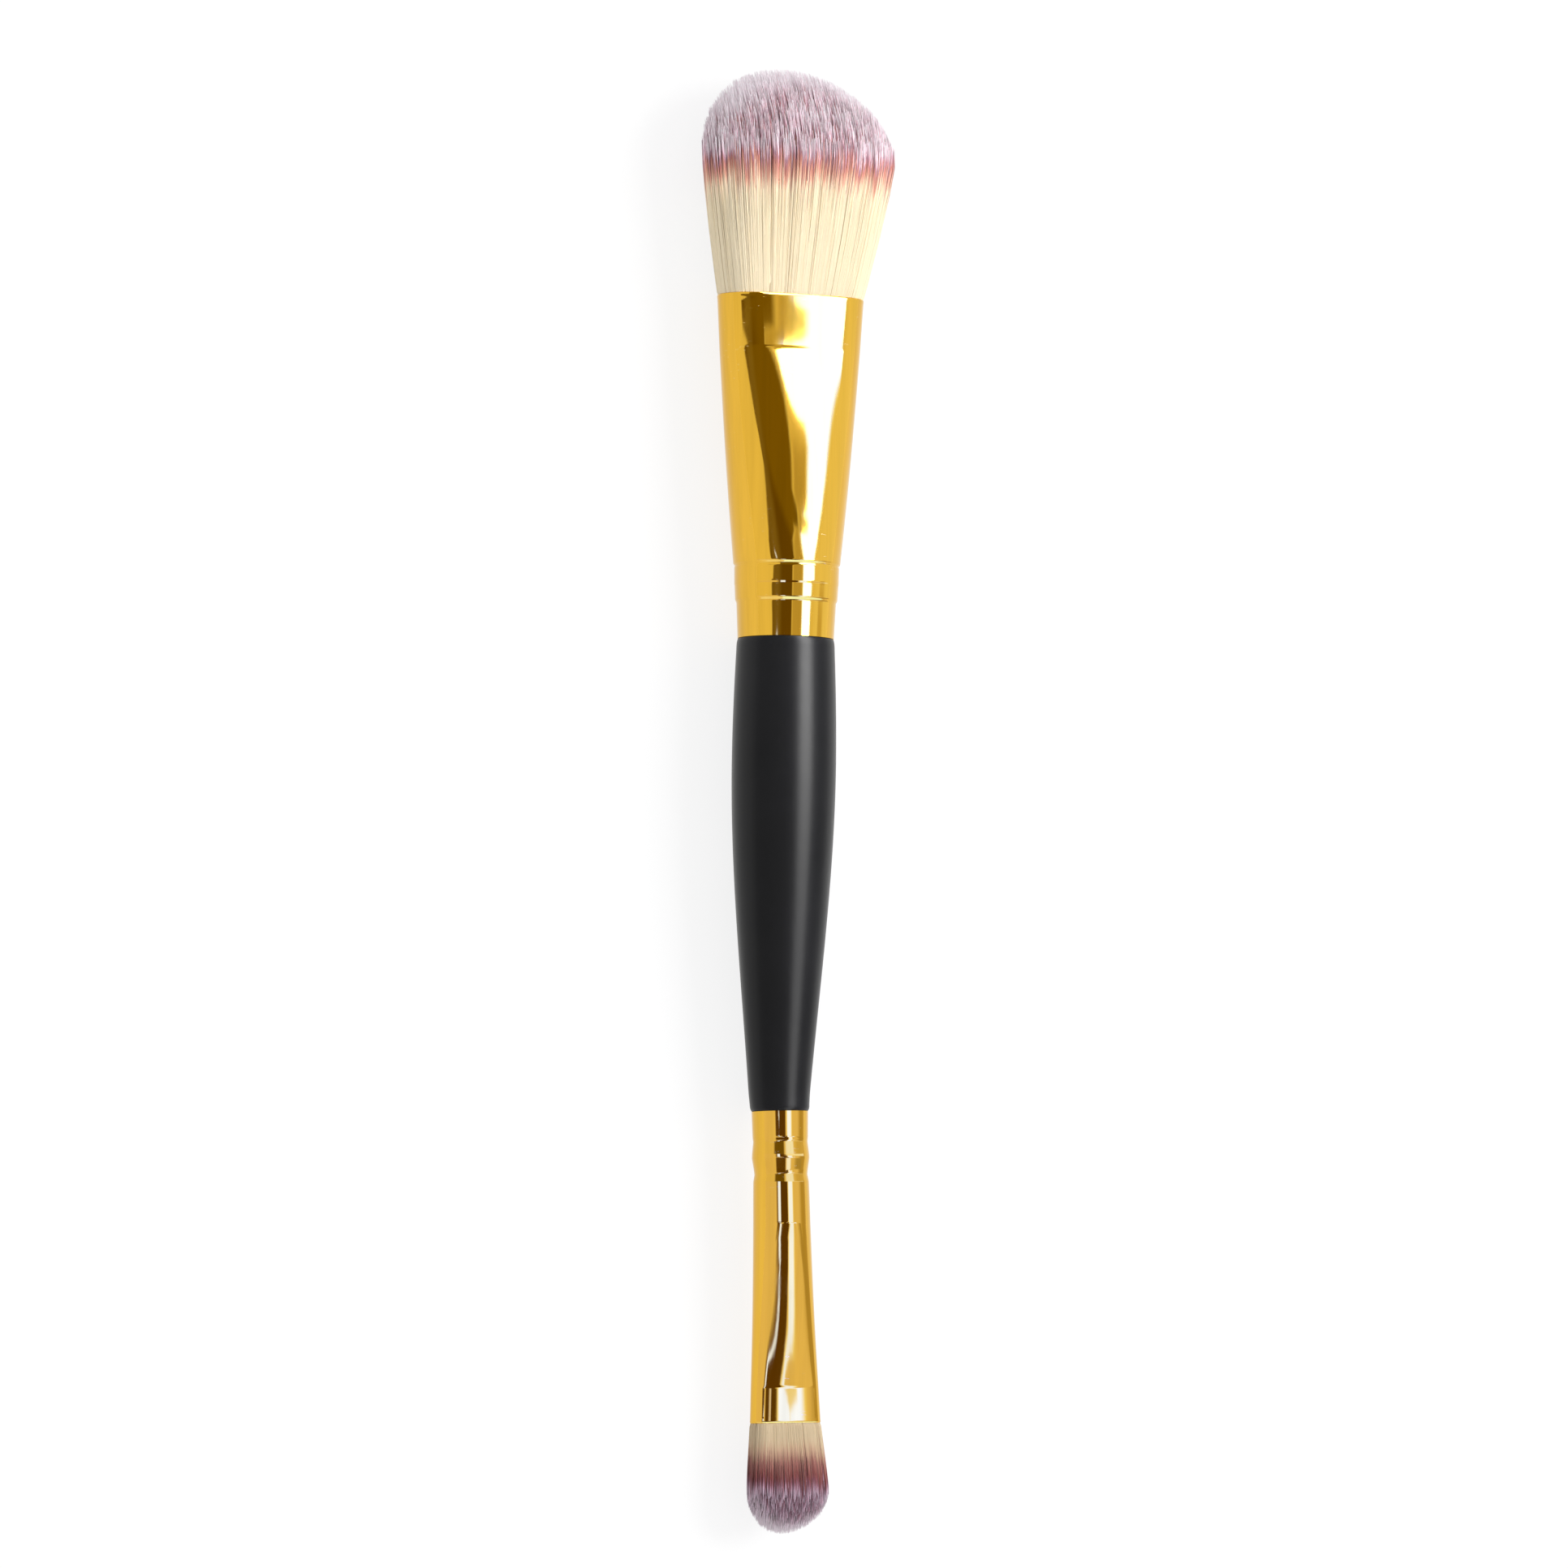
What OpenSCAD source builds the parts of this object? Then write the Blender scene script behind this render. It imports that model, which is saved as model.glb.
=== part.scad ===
// Double ended brush lying at rest: turned wooden handle, two crimped metal ferrules, two tufts of hair.
// Millimetres. The brush lies along Y with its large tuft towards +Y, X is its width, the floor is Z = 0.

/* [Handle] */
// Length of the lacquered part, between the two ferrules
handle_len = 58.1; // [50:0.1:80]
// Largest diameter, at the belly
belly_d = 12.82; // [12.4:0.02:14]
// Distance of the belly from the small end
belly_at = 42.5; // [34:0.5:48]
// Diameter behind the rounded shoulder at the large end
handle_head_d = 12.1; // [12:0.05:12.4]
// Diameter ahead of the rounded edge at the small end
handle_tail_d = 7.32; // [7.1:0.02:8.6]
// How fast the radius falls at the large end, per millimetre
head_slope = 0.045; // [0:0.005:0.06]
// How fast the radius falls at the small end, per millimetre
tail_slope = 0.075; // [0.03:0.005:0.12]
// Length of the rounded shoulder at the large end
shoulder_len = 1.3; // [0.5:0.1:2.5]
// Length of the rounded edge at the small end
tail_round_len = 0.8; // [0.4:0.1:1.5]
// Chamfer at the end of each tenon
tenon_chamfer = 0.5; // [0.2:0.1:1]
// Angle in degrees by which the small end stands out of line
small_end_lean = 1.97; // [0:0.01:3]
// How far inside the handle the small end's axis leaves the handle's
lean_depth = 3.4; // [0:0.1:6]

/* [Large ferrule] */
// Length from the handle to the mouth
large_ferrule_len = 42.2; // [38:0.1:52]
// Outer diameter where it meets the handle
large_end_d = 11.86; // [11.2:0.02:12]
// Distance of the rolled step from the handle
large_step_at = 4.4; // [3:0.1:5]
// Outer diameter just below the rolled step
large_below_step_d = 12.26; // [12:0.02:12.4]
// Outer diameter just above the rolled step
large_above_step_d = 12.6; // [12.45:0.01:12.7]
// Outer diameter of the collar
large_collar_d = 12.92; // [12.8:0.02:13.1]
// Length of the collar, from the step to its upper line
large_collar_len = 4.3; // [3.6:0.1:4.8]
// Outer diameter of the round neck where the flattening begins
large_neck_d = 13.18; // [13:0.02:13.6]
// Length of the flat band at the mouth
large_band_len = 6.7; // [4:0.1:9]
// Width across the crease where the band begins
large_crease_w = 18.03; // [16:0.01:20]
// Width of the mouth
large_mouth_w = 18.85; // [17:0.01:21]
// Thickness of the mouth
large_mouth_t = 9.7; // [8:0.05:11]
// How much the sloping part bulges in width
large_swell = 0.24; // [0:0.01:0.5]
// Angle in degrees by which the band's flats are rounded to each side
large_crown = 8; // [6:0.5:10]
// How many degrees more the sloping flats are rounded halfway
large_slope_crown = 8; // [0:0.5:10]
// How much the slope steepens towards the band, 1 for an even slope
large_slope_power = 1.2; // [1:0.05:1.3]

/* [Large tuft] */
// Length of hair out of the ferrule
large_tuft_len = 27.9; // [24:0.1:34]
// Largest width
large_tuft_w = 25; // [21:0.05:27]
// Largest thickness
large_tuft_t = 14; // [13.4:0.05:15]
// Height of the widest part over the mouth
large_widest_at = 17.2; // [14:0.1:19]
// How far the widest part stands to +X of the axis
large_tuft_offset = 0.79; // [-1:0.01:1]
// How far the tip stands to -X of the widest part's centre
large_tip_shift = 2.3; // [0:0.05:3]
// Length of hair inside the ferrule
large_root_len = 15; // [12:0.5:18]

/* [Small ferrule] */
// Length from the handle to the mouth
small_ferrule_len = 38.2; // [35:0.1:46]
// Outer diameter where it meets the handle
small_end_d = 6.94; // [6.7:0.02:7.1]
// Distance of the first rolled groove from the handle
small_groove1_at = 3.7; // [3:0.1:4.2]
// Outer diameter in the first groove
small_groove1_d = 6.68; // [6.5:0.02:6.8]
// Distance of the crest between the grooves from the handle
small_crest_at = 5.7; // [5:0.1:6.2]
// Outer diameter of the crest
small_crest_d = 7.06; // [6.9:0.02:7.2]
// Distance of the second rolled groove from the handle
small_groove2_at = 7.7; // [7:0.1:8.4]
// Outer diameter in the second groove
small_groove2_d = 6.5; // [6.4:0.02:6.7]
// Outer diameter just past the second groove
small_past_groove_d = 6.84; // [6.72:0.02:6.9]
// Distance from the handle to where the flattening begins
small_neck_len = 13.7; // [12:0.1:15]
// Outer diameter of the round neck where the flattening begins
small_neck_d = 7.04; // [6.94:0.02:7.3]
// Length of the flat band at the mouth
small_band_len = 4.4; // [3:0.1:6]
// Width across the crease where the band begins
small_crease_w = 8.73; // [8:0.01:9.2]
// Width of the mouth
small_mouth_w = 9.12; // [8.8:0.01:10]
// Thickness of the mouth
small_mouth_t = 4.1; // [3.4:0.05:5]
// How much the sloping part draws in at its waist
small_waist = 0.14; // [0:0.01:0.3]
// Angle in degrees by which the band's flats are rounded to each side
small_crown = 14; // [10:0.5:16]
// How many degrees more the sloping flats are rounded halfway
small_slope_crown = 12; // [4:0.5:14]

/* [Small tuft] */
// Length of hair out of the ferrule
small_tuft_len = 13.5; // [11:0.1:18]
// Largest width
small_tuft_w = 10.5; // [9.6:0.02:12]
// Largest thickness
small_tuft_t = 5.3; // [4.6:0.05:6.5]
// Height of the widest part over the mouth
small_widest_at = 8.1; // [6:0.1:9.5]
// How far the widest part stands to +X of the axis
small_tuft_offset = 0.15; // [-0.5:0.01:0.5]
// How far the tip stands to -X of the widest part's centre
small_tip_shift = 0.8; // [0:0.05:2]
// Length of hair inside the ferrule
small_root_len = 14; // [10:0.5:16]

/* [Sheet metal and fits] */
// Thickness of the ferrules' metal
metal_t = 0.4; // [0.3:0.02:0.5]
// Play between what is inside a ferrule and the metal
fit_gap = 0.05; // [0.03:0.01:0.08]
// How far the handle's end faces stand inside the ferrules' outer surface
seat_inset = 0.12; // [0.05:0.01:0.2]
// Depth of the fine lines rolled into the ferrules
line_depth = 0.06; // [0.03:0.01:0.1]
// Radius of the rounded outer edge of the mouths
lip_round = 0.2; // [0.1:0.02:0.25]

/* [Hidden] */

// Points along each round side and along each flat of a lofted section
side_n = 24;
flat_n = 8;
turned_fn = 96;
profile_steps = 14;
edge_steps = 4;
loft_steps = 8;
dome_steps = 8;
// Angle of the last ring below a dome's tip
dome_end = 88;
// How far a cutting solid stands out past the face that it opens
overcut = 1;
// Length by which the turned body stands past its small end before that end is cut in line with the lean
tail_extra = 0.4;
// The loft starts this far below the neck's upper edge, and this much inside it
seam_lap = 0.3;
seam_step = 0.06;
// Length of each rolled line's sloping side
line_len = 0.25;
// Length of the slope of the rolled step, and of the collar's tapered half
step_len = 0.7;
collar_taper_len = 1.8;
// How far past the second groove the small neck is straight again
groove_rise_len = 0.9;
neck_settle_len = 2.6;
// How far over the mouth the hair has spread to the metal's outer width
spread_len = 0.6;
// How a tuft's section changes from the mouth's slot shape to an oval
oval_share = 0.85;
// Exponents of the tufts' side curve and of each tip's sideways shift
side_power = 1.25;
large_tip_power = 1.6;
small_tip_power = 2.2;
// Crown of a section that is round or nearly oval, where it has no flats
plain_crown = 5;

ring_n = 2 * (side_n + flat_n);
large_neck_len = large_step_at + large_collar_len + 2 * line_len;
large_crease_at = large_ferrule_len - large_band_len;
small_crease_at = small_ferrule_len - small_band_len;
total_len = small_tuft_len + small_ferrule_len + handle_len + large_ferrule_len + large_tuft_len;
// Place of the handle's small end on the Y axis, which centres the brush on the origin
tail_y = small_tuft_len + small_ferrule_len - total_len / 2;
// The belly and the large tuft both lie on the floor, so the axis rises a little towards the tuft
belly_y = tail_y + belly_at;
widest_y = tail_y + handle_len + large_ferrule_len + large_widest_at;
rest_tilt = asin((large_tuft_t - belly_d) / 2 / (widest_y - belly_y));
axis_z = belly_d / 2 / cos(rest_tilt) - belly_y * tan(rest_tilt);

function lerp(a, b, k) = a + (b - a) * k;
function spread(a, b, n) = [for (i = [0:n]) lerp(a, b, i / n)];

// Smooth curve from a to b over a length, with a slope per millimetre at each end
function curve(a, b, slope_a, slope_b, length, k) =
  a * (2 * pow(k, 3) - 3 * pow(k, 2) + 1) + b * (3 * pow(k, 2) - 2 * pow(k, 3))
  + slope_a * length * (pow(k, 3) - 2 * pow(k, 2) + k)
  + slope_b * length * (pow(k, 3) - pow(k, 2));

// Width, thickness and crown of a ferrule's sloping part at the share k of its length, from the neck
function sloping(k, neck_d, crease_w, mouth_t, swell, crown, slope_crown, power) = [
  lerp(neck_d, crease_w, k) + swell * sin(180 * k),
  lerp(neck_d, mouth_t, pow(k, power)),
  lerp(plain_crown, crown, k) + slope_crown * sin(180 * k)
];

// Section of each ferrule's flattened part at distance s from the handle
large_section = function (s)
  s > large_crease_at
    ? [lerp(large_crease_w, large_mouth_w, (s - large_crease_at) / large_band_len),
        large_mouth_t, large_crown]
    : sloping((s - large_neck_len) / (large_crease_at - large_neck_len), large_neck_d - 2 * seam_step,
        large_crease_w, large_mouth_t, large_swell, large_crown, large_slope_crown, large_slope_power);

small_section = function (s)
  s > small_crease_at
    ? [lerp(small_crease_w, small_mouth_w, (s - small_crease_at) / small_band_len),
        small_mouth_t, small_crown]
    : sloping((s - small_neck_len) / (small_crease_at - small_neck_len), small_neck_d - 2 * seam_step,
        small_crease_w, small_mouth_t, -small_waist, small_crown, small_slope_crown, 1);

// Half a ring, without its height, from the right side's lowest point to the flat's left end: a slot of
// w by t with round ends, whose flat is rounded by the crown's angle to each side
function half_ring(w, t, crown) =
  let (
    rise = tan(crown / 2),
    end_r = (t - w * rise) / (1 - rise) / 2,
    h = w / 2 - end_r
  )
  concat(
    [for (i = [0:side_n - 1])
      let (a = (90 - crown) * (2 * (i + 0.5) / side_n - 1))
      [h + end_r * cos(a), end_r * sin(a)]],
    [for (i = [0:flat_n - 1])
      let (a = crown * (1 - 2 * (i + 0.5) / flat_n))
      [(h / sin(crown) + end_r) * sin(a), end_r * cos(a) + h * (cos(a) - cos(crown)) / sin(crown)]]
  );

// One closed ring of points at height z, blended from a crowned slot into an oval by a share
function ring(w, t, crown, z, x = 0, oval = 0) =
  let (half = half_ring(w, t, crown))
  [
    for (side = [1, -1], p = half)
      let (a = atan2(p[1] / t, p[0] / w))
      [x + side * lerp(p[0], w / 2 * cos(a), oval), side * lerp(p[1], t / 2 * sin(a), oval), z]
  ];

// Ring of a ferrule's section, an even distance inside its outer surface
function inner_ring(section, s, inset, mouth) =
  let (size = section(min(s, mouth)))
  ring(size[0] - 2 * inset, size[1] - 2 * inset, size[2], s);

// Closed solid through a list of rings, from the lowest to the highest
module loft(rings) {
  last = len(rings) - 1;
  sides = [
    for (j = [0:last - 1], i = [0:ring_n - 1])
      let (a = j * ring_n + i, b = j * ring_n + (i + 1) % ring_n)
      each [[a, a + ring_n, b + ring_n], [a, b + ring_n, b]]
  ];
  low = [for (i = [0:ring_n - 1]) i];
  high = [for (i = [ring_n - 1:-1:0]) last * ring_n + i];
  polyhedron([for (r = rings) each r], concat([low], sides, [high]));
}

// Round neck below and flattened part above, an even distance inside the ferrule's outer surface
module ferrule_form(neck, section, start, crease, mouth, inset, past) {
  outline = [for (p = neck) [p[0] - inset, p[1]]];
  lip = [for (a = [0, 45, 90]) [mouth - lip_round * (1 - sin(a)), lip_round * (1 - cos(a))]];
  stations = concat(
    [for (s = spread(start, crease, loft_steps)) [s, inset]],
    past > 0 ? [[mouth, inset], [mouth + past, inset]] : lip
  );
  rotate_extrude($fn = turned_fn)
    polygon(concat(
      [[0, -past], [outline[0][0], -past]],
      past > 0 ? outline : [for (i = [1:len(outline) - 1]) outline[i]],
      [[0, outline[len(outline) - 1][1]]]
    ));
  loft([for (at = stations) inner_ring(section, at[0], at[1], mouth)]);
}

module ferrule(neck, section, start, crease, mouth) {
  difference() {
    ferrule_form(neck, section, start, crease, mouth, 0, 0);
    ferrule_form(neck, section, start, crease, mouth, metal_t, overcut);
  }
}

// Radius and distance from the handle of each corner of the large neck's outline
large_neck = [
  [large_end_d / 2, 0],
  [large_below_step_d / 2, large_step_at],
  [large_above_step_d / 2, large_step_at + step_len],
  [large_collar_d / 2 - line_depth / 2, large_step_at + step_len + collar_taper_len],
  [large_collar_d / 2, large_step_at + large_collar_len],
  [large_collar_d / 2 - line_depth, large_step_at + large_collar_len + line_len],
  [large_neck_d / 2 - seam_step / 2, large_neck_len],
  [large_neck_d / 2, large_neck_len + seam_lap]
];

small_neck = [
  [small_end_d / 2, 0],
  [small_groove1_d / 2 + line_depth, small_groove1_at - 2 * line_len],
  [small_groove1_d / 2, small_groove1_at],
  [small_crest_d / 2, small_crest_at],
  [small_groove2_d / 2, small_groove2_at],
  [small_past_groove_d / 2, small_groove2_at + groove_rise_len],
  [small_neck_d / 2 - line_depth, small_groove2_at + neck_settle_len],
  [small_neck_d / 2, small_neck_len + seam_lap]
];

// Hair: its root follows the ferrule's cavity, then it spreads, widens and ends in a dome
module tuft(section, mouth, root, crease, length, w, t, widest_at, offset, tip_shift, tip_power) {
  inset = metal_t + fit_gap;
  mouth_size = section(mouth);
  dome = length - widest_at;
  inside = concat(spread(mouth - root, crease, 2), [mouth]);
  side = spread(spread_len, widest_at, 5);
  loft(concat(
    [for (s = inside) inner_ring(section, s, inset, mouth)],
    [for (h = side)
      let (k = 1 - pow(1 - h / widest_at, side_power))
      ring(lerp(mouth_size[0], w, k), lerp(mouth_size[1], t, k), lerp(mouth_size[2], plain_crown, k),
        mouth + h, offset * k, oval_share * k)],
    [for (i = [1:dome_steps])
      let (a = dome_end * i / dome_steps, q = sin(a))
      ring(w * cos(a), t * cos(a), plain_crown, mouth + widest_at + dome * q,
        offset - tip_shift * pow(q, tip_power), oval_share)]
  ));
}

// Glue between a tenon's end and a tuft's root, as wide as the cavity there
module glue_plug(section, low, high) {
  loft([for (s = spread(low, high, 3)) inner_ring(section, s, metal_t + fit_gap, high)]);
}

// Lays what stands along the Y axis on the floor
module lying() {
  translate([0, 0, axis_z]) rotate([rest_tilt, 0, 0]) children();
}

// Stands a piece of the large end in its place along the handle's axis
module on_large_end() {
  lying() translate([0, tail_y + handle_len, 0]) rotate([-90, 0, 0]) children();
}

// Stands a piece of the small end in its place on the leaning axis
module on_small_end() {
  lying()
    translate([0, tail_y + lean_depth, 0])
      rotate([0, 0, small_end_lean])
        translate([0, -lean_depth, 0])
          rotate([90, 0, 0])
            children();
}

// Tenon that the ferrule's neck is rolled onto, so it follows every groove with the same play
module tenon(neck) {
  inset = metal_t + fit_gap;
  last = len(neck) - 2;
  body = [for (i = [0:last]) [neck[i][0] - inset, neck[i][1]]];
  top = neck[last + 1][1];
  rotate_extrude($fn = turned_fn)
    polygon(concat(
      [[0, -overcut], [body[0][0], -overcut]],
      body,
      [[body[last][0] - tenon_chamfer, top], [0, top]]
    ));
}

// Turned body with a rounded shoulder; it stands a little past its small end, to be cut square there
module turned_body() {
  belly_r = belly_d / 2;
  head_r = handle_head_d / 2;
  tail_r = handle_tail_d / 2;
  head_face_r = large_end_d / 2 - seat_inset;
  tail_face_r = small_end_d / 2 - seat_inset;
  to_belly = [for (i = [0:profile_steps]) i / profile_steps];
  to_head = [for (i = [1:profile_steps / 2]) 2 * i / profile_steps];
  quarter = [for (i = [1:edge_steps]) 90 * i / edge_steps];
  rotate_extrude($fn = turned_fn)
    polygon(concat(
      [[0, -tail_extra], [tail_face_r, -tail_extra], [tail_face_r, 0]],
      [for (a = quarter)
        [lerp(tail_face_r, tail_r, sin(a)), tail_round_len * (1 - cos(a))]],
      [for (k = to_belly)
        if (k > 0)
          [curve(tail_r, belly_r, tail_slope, 0, belly_at - tail_round_len, k),
            lerp(tail_round_len, belly_at, k)]],
      [for (k = to_head)
        [curve(belly_r, head_r, 0, -head_slope, handle_len - shoulder_len - belly_at, k),
          lerp(belly_at, handle_len - shoulder_len, k)]],
      [for (a = quarter)
        [lerp(head_face_r, head_r, cos(a)), handle_len - shoulder_len * (1 - sin(a))]],
      [[0, handle_len]]
    ));
}

module handle() {
  color([0.13, 0.13, 0.14]) {
    difference() {
      lying() translate([0, tail_y, 0]) rotate([-90, 0, 0]) turned_body();
      on_small_end() cylinder(d = belly_d, h = overcut);
    }
    on_large_end() tenon(large_neck);
    on_small_end() tenon(small_neck);
  }
}

module large_ferrule() {
  color([0.9, 0.68, 0.27])
    on_large_end()
      ferrule(large_neck, large_section, large_neck_len, large_crease_at, large_ferrule_len);
}

module small_ferrule() {
  color([0.9, 0.68, 0.27])
    on_small_end()
      ferrule(small_neck, small_section, small_neck_len, small_crease_at, small_ferrule_len);
}

module large_tuft() {
  color([0.93, 0.86, 0.74])
    on_large_end()
      tuft(large_section, large_ferrule_len, large_root_len, large_crease_at, large_tuft_len, large_tuft_w,
        large_tuft_t, large_widest_at, large_tuft_offset, large_tip_shift, large_tip_power);
}

module small_tuft() {
  color([0.6, 0.45, 0.38])
    on_small_end()
      tuft(small_section, small_ferrule_len, small_root_len, small_crease_at, small_tuft_len, small_tuft_w,
        small_tuft_t, small_widest_at, small_tuft_offset, small_tip_shift, small_tip_power);
}

module large_glue_plug() {
  color([0.85, 0.8, 0.62])
    on_large_end()
      glue_plug(large_section, large_neck_len + seam_lap, large_ferrule_len - large_root_len);
}

module small_glue_plug() {
  color([0.85, 0.8, 0.62])
    on_small_end()
      glue_plug(small_section, small_neck_len + seam_lap, small_ferrule_len - small_root_len);
}

handle();
large_ferrule();
small_ferrule();
large_tuft();
small_tuft();
large_glue_plug();
small_glue_plug();
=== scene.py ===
import math
import random

import bmesh
import bpy
from bpy.props import FloatProperty, FloatVectorProperty, IntProperty, PointerProperty
from mathutils import Matrix, Vector, noise


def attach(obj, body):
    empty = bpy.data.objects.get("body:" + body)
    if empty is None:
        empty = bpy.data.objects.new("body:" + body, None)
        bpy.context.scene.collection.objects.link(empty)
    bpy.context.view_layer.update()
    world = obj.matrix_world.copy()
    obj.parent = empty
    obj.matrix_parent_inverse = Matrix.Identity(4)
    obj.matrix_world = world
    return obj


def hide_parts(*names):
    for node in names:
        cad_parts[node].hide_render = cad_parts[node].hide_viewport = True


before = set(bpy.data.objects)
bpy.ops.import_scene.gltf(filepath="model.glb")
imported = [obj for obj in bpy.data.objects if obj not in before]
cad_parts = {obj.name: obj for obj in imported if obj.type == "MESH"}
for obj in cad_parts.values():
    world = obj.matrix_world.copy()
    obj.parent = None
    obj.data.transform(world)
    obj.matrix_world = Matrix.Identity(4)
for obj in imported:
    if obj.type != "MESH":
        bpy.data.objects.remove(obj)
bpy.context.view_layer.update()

bl_info = {
    "name": "Double ended brush",
    "version": (1, 0, 0),
    "blender": (4, 5, 0),
    "location": "View3D > Sidebar > Brush",
    "description": "Models a double ended brush with a turned handle, two crimped ferrules and two tufts of hair",
    "category": "Object",
}

MM = 0.001
BODY = "root"

# How far the camera stands round the brush, in degrees, from which the light tents' patterns are measured too
VIEW_TURN = 23


def length(name, description, millimetres):
    """A length, given in millimetres and kept in metres."""
    return FloatProperty(
        name=name, description=description, default=millimetres * MM, unit="LENGTH", subtype="DISTANCE", precision=5
    )


def angle(name, description, degrees):
    """An angle, given in degrees and kept in radians."""
    return FloatProperty(name=name, description=description, default=math.radians(degrees), subtype="ANGLE")


def colour(name, description, rgb):
    """A linear colour."""
    return FloatVectorProperty(name=name, description=description, default=rgb, size=3, min=0, max=1, subtype="COLOR")


def share(name, description, value):
    """A plain number from 0 to 1."""
    return FloatProperty(name=name, description=description, default=value, min=0, max=1)


def power(name, description, value):
    """The power that shapes an even rise."""
    return FloatProperty(name=name, description=description, default=value, min=0)


def count(name, description, value):
    """A number of hairs."""
    return IntProperty(name=name, description=description, default=value, min=0)


class HandleSizes(bpy.types.PropertyGroup):
    """The turned handle, measured from its small end."""

    length: length("Length", "Between the two ferrules", 58.1)
    belly_d: length("Belly", "Largest diameter", 12.82)
    belly_at: length("Belly place", "From the small end", 42.5)
    head_d: length("Large end", "Diameter behind the rounded shoulder", 12.1)
    tail_d: length("Small end", "Diameter ahead of the rounded edge", 7.32)
    head_slope: share("Large end slope", "Fall of the radius per length at the large end", 0.045)
    tail_slope: share("Small end slope", "Fall of the radius per length at the small end", 0.075)
    shoulder: length("Shoulder", "Length of the rounded shoulder", 1.3)
    tail_round: length("Rounded edge", "Length of the rounded edge at the small end", 0.8)
    seat_inset: length("Seat inset", "How far its end faces stand inside the ferrules' outer surface", 0.12)
    lean: angle("Lean", "How far the small end stands out of line", 1.97)
    lean_depth: length("Lean depth", "How far inside the handle that bend lies", 3.4)


class LargeFerruleSizes(bpy.types.PropertyGroup):
    """The large ferrule, measured from the handle to its mouth."""

    length: length("Length", "From the handle to the mouth", 42.2)
    end_d: length("End", "Outer diameter at the handle", 11.86)
    step_at: length("Step place", "Distance of the rolled step from the handle", 4.4)
    below_step_d: length("Below the step", "Outer diameter just below the rolled step", 12.26)
    above_step_d: length("Above the step", "Outer diameter just above the rolled step", 12.6)
    collar_d: length("Collar", "Outer diameter of the collar", 12.92)
    collar_len: length("Collar length", "From the step to the collar's upper line", 4.3)
    neck_len: length("Neck length", "From the handle to where the flattening begins", 9.2)
    neck_d: length("Neck", "Outer diameter where the flattening begins", 13.18)
    band_len: length("Band", "Length of the flat band at the mouth", 6.7)
    crease_w: length("Crease width", "Width where the band begins", 18.03)
    mouth_w: length("Mouth width", "Width of the mouth", 18.85)
    mouth_t: length("Mouth thickness", "Thickness of the mouth", 9.7)
    swell: length("Swell", "Bulge of the sloping part in width", 0.24)
    slope_power: power("Slope power", "How much the slope steepens to the band", 1.2)
    crown: angle("Crown", "How far the band's flats are rounded", 8)
    slope_crown: angle("Slope crown", "How much more the sloping flats are rounded halfway", 8)


class SmallFerruleSizes(bpy.types.PropertyGroup):
    """The small ferrule, measured from the handle to its mouth."""

    length: length("Length", "From the handle to the mouth", 38.2)
    end_d: length("End", "Outer diameter at the handle", 6.94)
    groove1_at: length("First groove place", "Distance of the first groove from the handle", 3.7)
    groove1_d: length("First groove", "Outer diameter in the first groove", 6.68)
    crest_at: length("Crest place", "Distance of the crest between the grooves", 5.7)
    crest_d: length("Crest", "Outer diameter of the crest", 7.06)
    groove2_at: length("Second groove place", "Distance of the second groove from the handle", 7.7)
    groove2_d: length("Second groove", "Outer diameter in the second groove", 6.5)
    past_groove_d: length("Past the groove", "Outer diameter just past the second groove", 6.84)
    neck_len: length("Neck length", "From the handle to where the flattening begins", 13.7)
    neck_d: length("Neck", "Outer diameter where the flattening begins", 7.04)
    band_len: length("Band", "Length of the flat band at the mouth", 4.4)
    crease_w: length("Crease width", "Width where the band begins", 8.73)
    mouth_w: length("Mouth width", "Width of the mouth", 9.12)
    mouth_t: length("Mouth thickness", "Thickness of the mouth", 4.1)
    swell: length("Swell", "Bulge of the sloping part in width", -0.14)
    slope_power: power("Slope power", "How much the slope steepens to the band", 1.0)
    crown: angle("Crown", "How far the band's flats are rounded", 14)
    slope_crown: angle("Slope crown", "How much more the sloping flats are rounded halfway", 12)


class LargeTuftSizes(bpy.types.PropertyGroup):
    """The large tuft, measured from the mouth of its ferrule."""

    length: length("Length", "Hair out of the ferrule", 27.9)
    width: length("Width", "Largest width", 25.0)
    thickness: length("Thickness", "Largest thickness", 14.0)
    widest_at: length("Widest place", "Height of the widest part over the mouth", 17.2)
    offset: length("Offset", "How far the widest part stands off the axis", 0.79)
    tip_shift: length("Tip shift", "How far the tip stands off the widest part", 2.3)
    tip_power: power("Tip power", "How late the shift sets in towards the tip", 1.6)
    side_hairs: count("Side hairs", "Hairs that show at full length", 3700)
    tip_hairs: count("Tip hairs", "Hairs whose tips form the dome", 6200)
    hair_d: length("Hair", "Diameter of a drawn hair", 0.15)
    stray: length("Stray", "How far a hair's tip wanders from its place", 0.12)
    uneven: length("Uneven", "How far short of the dome its hairs end", 1.1)


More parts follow.
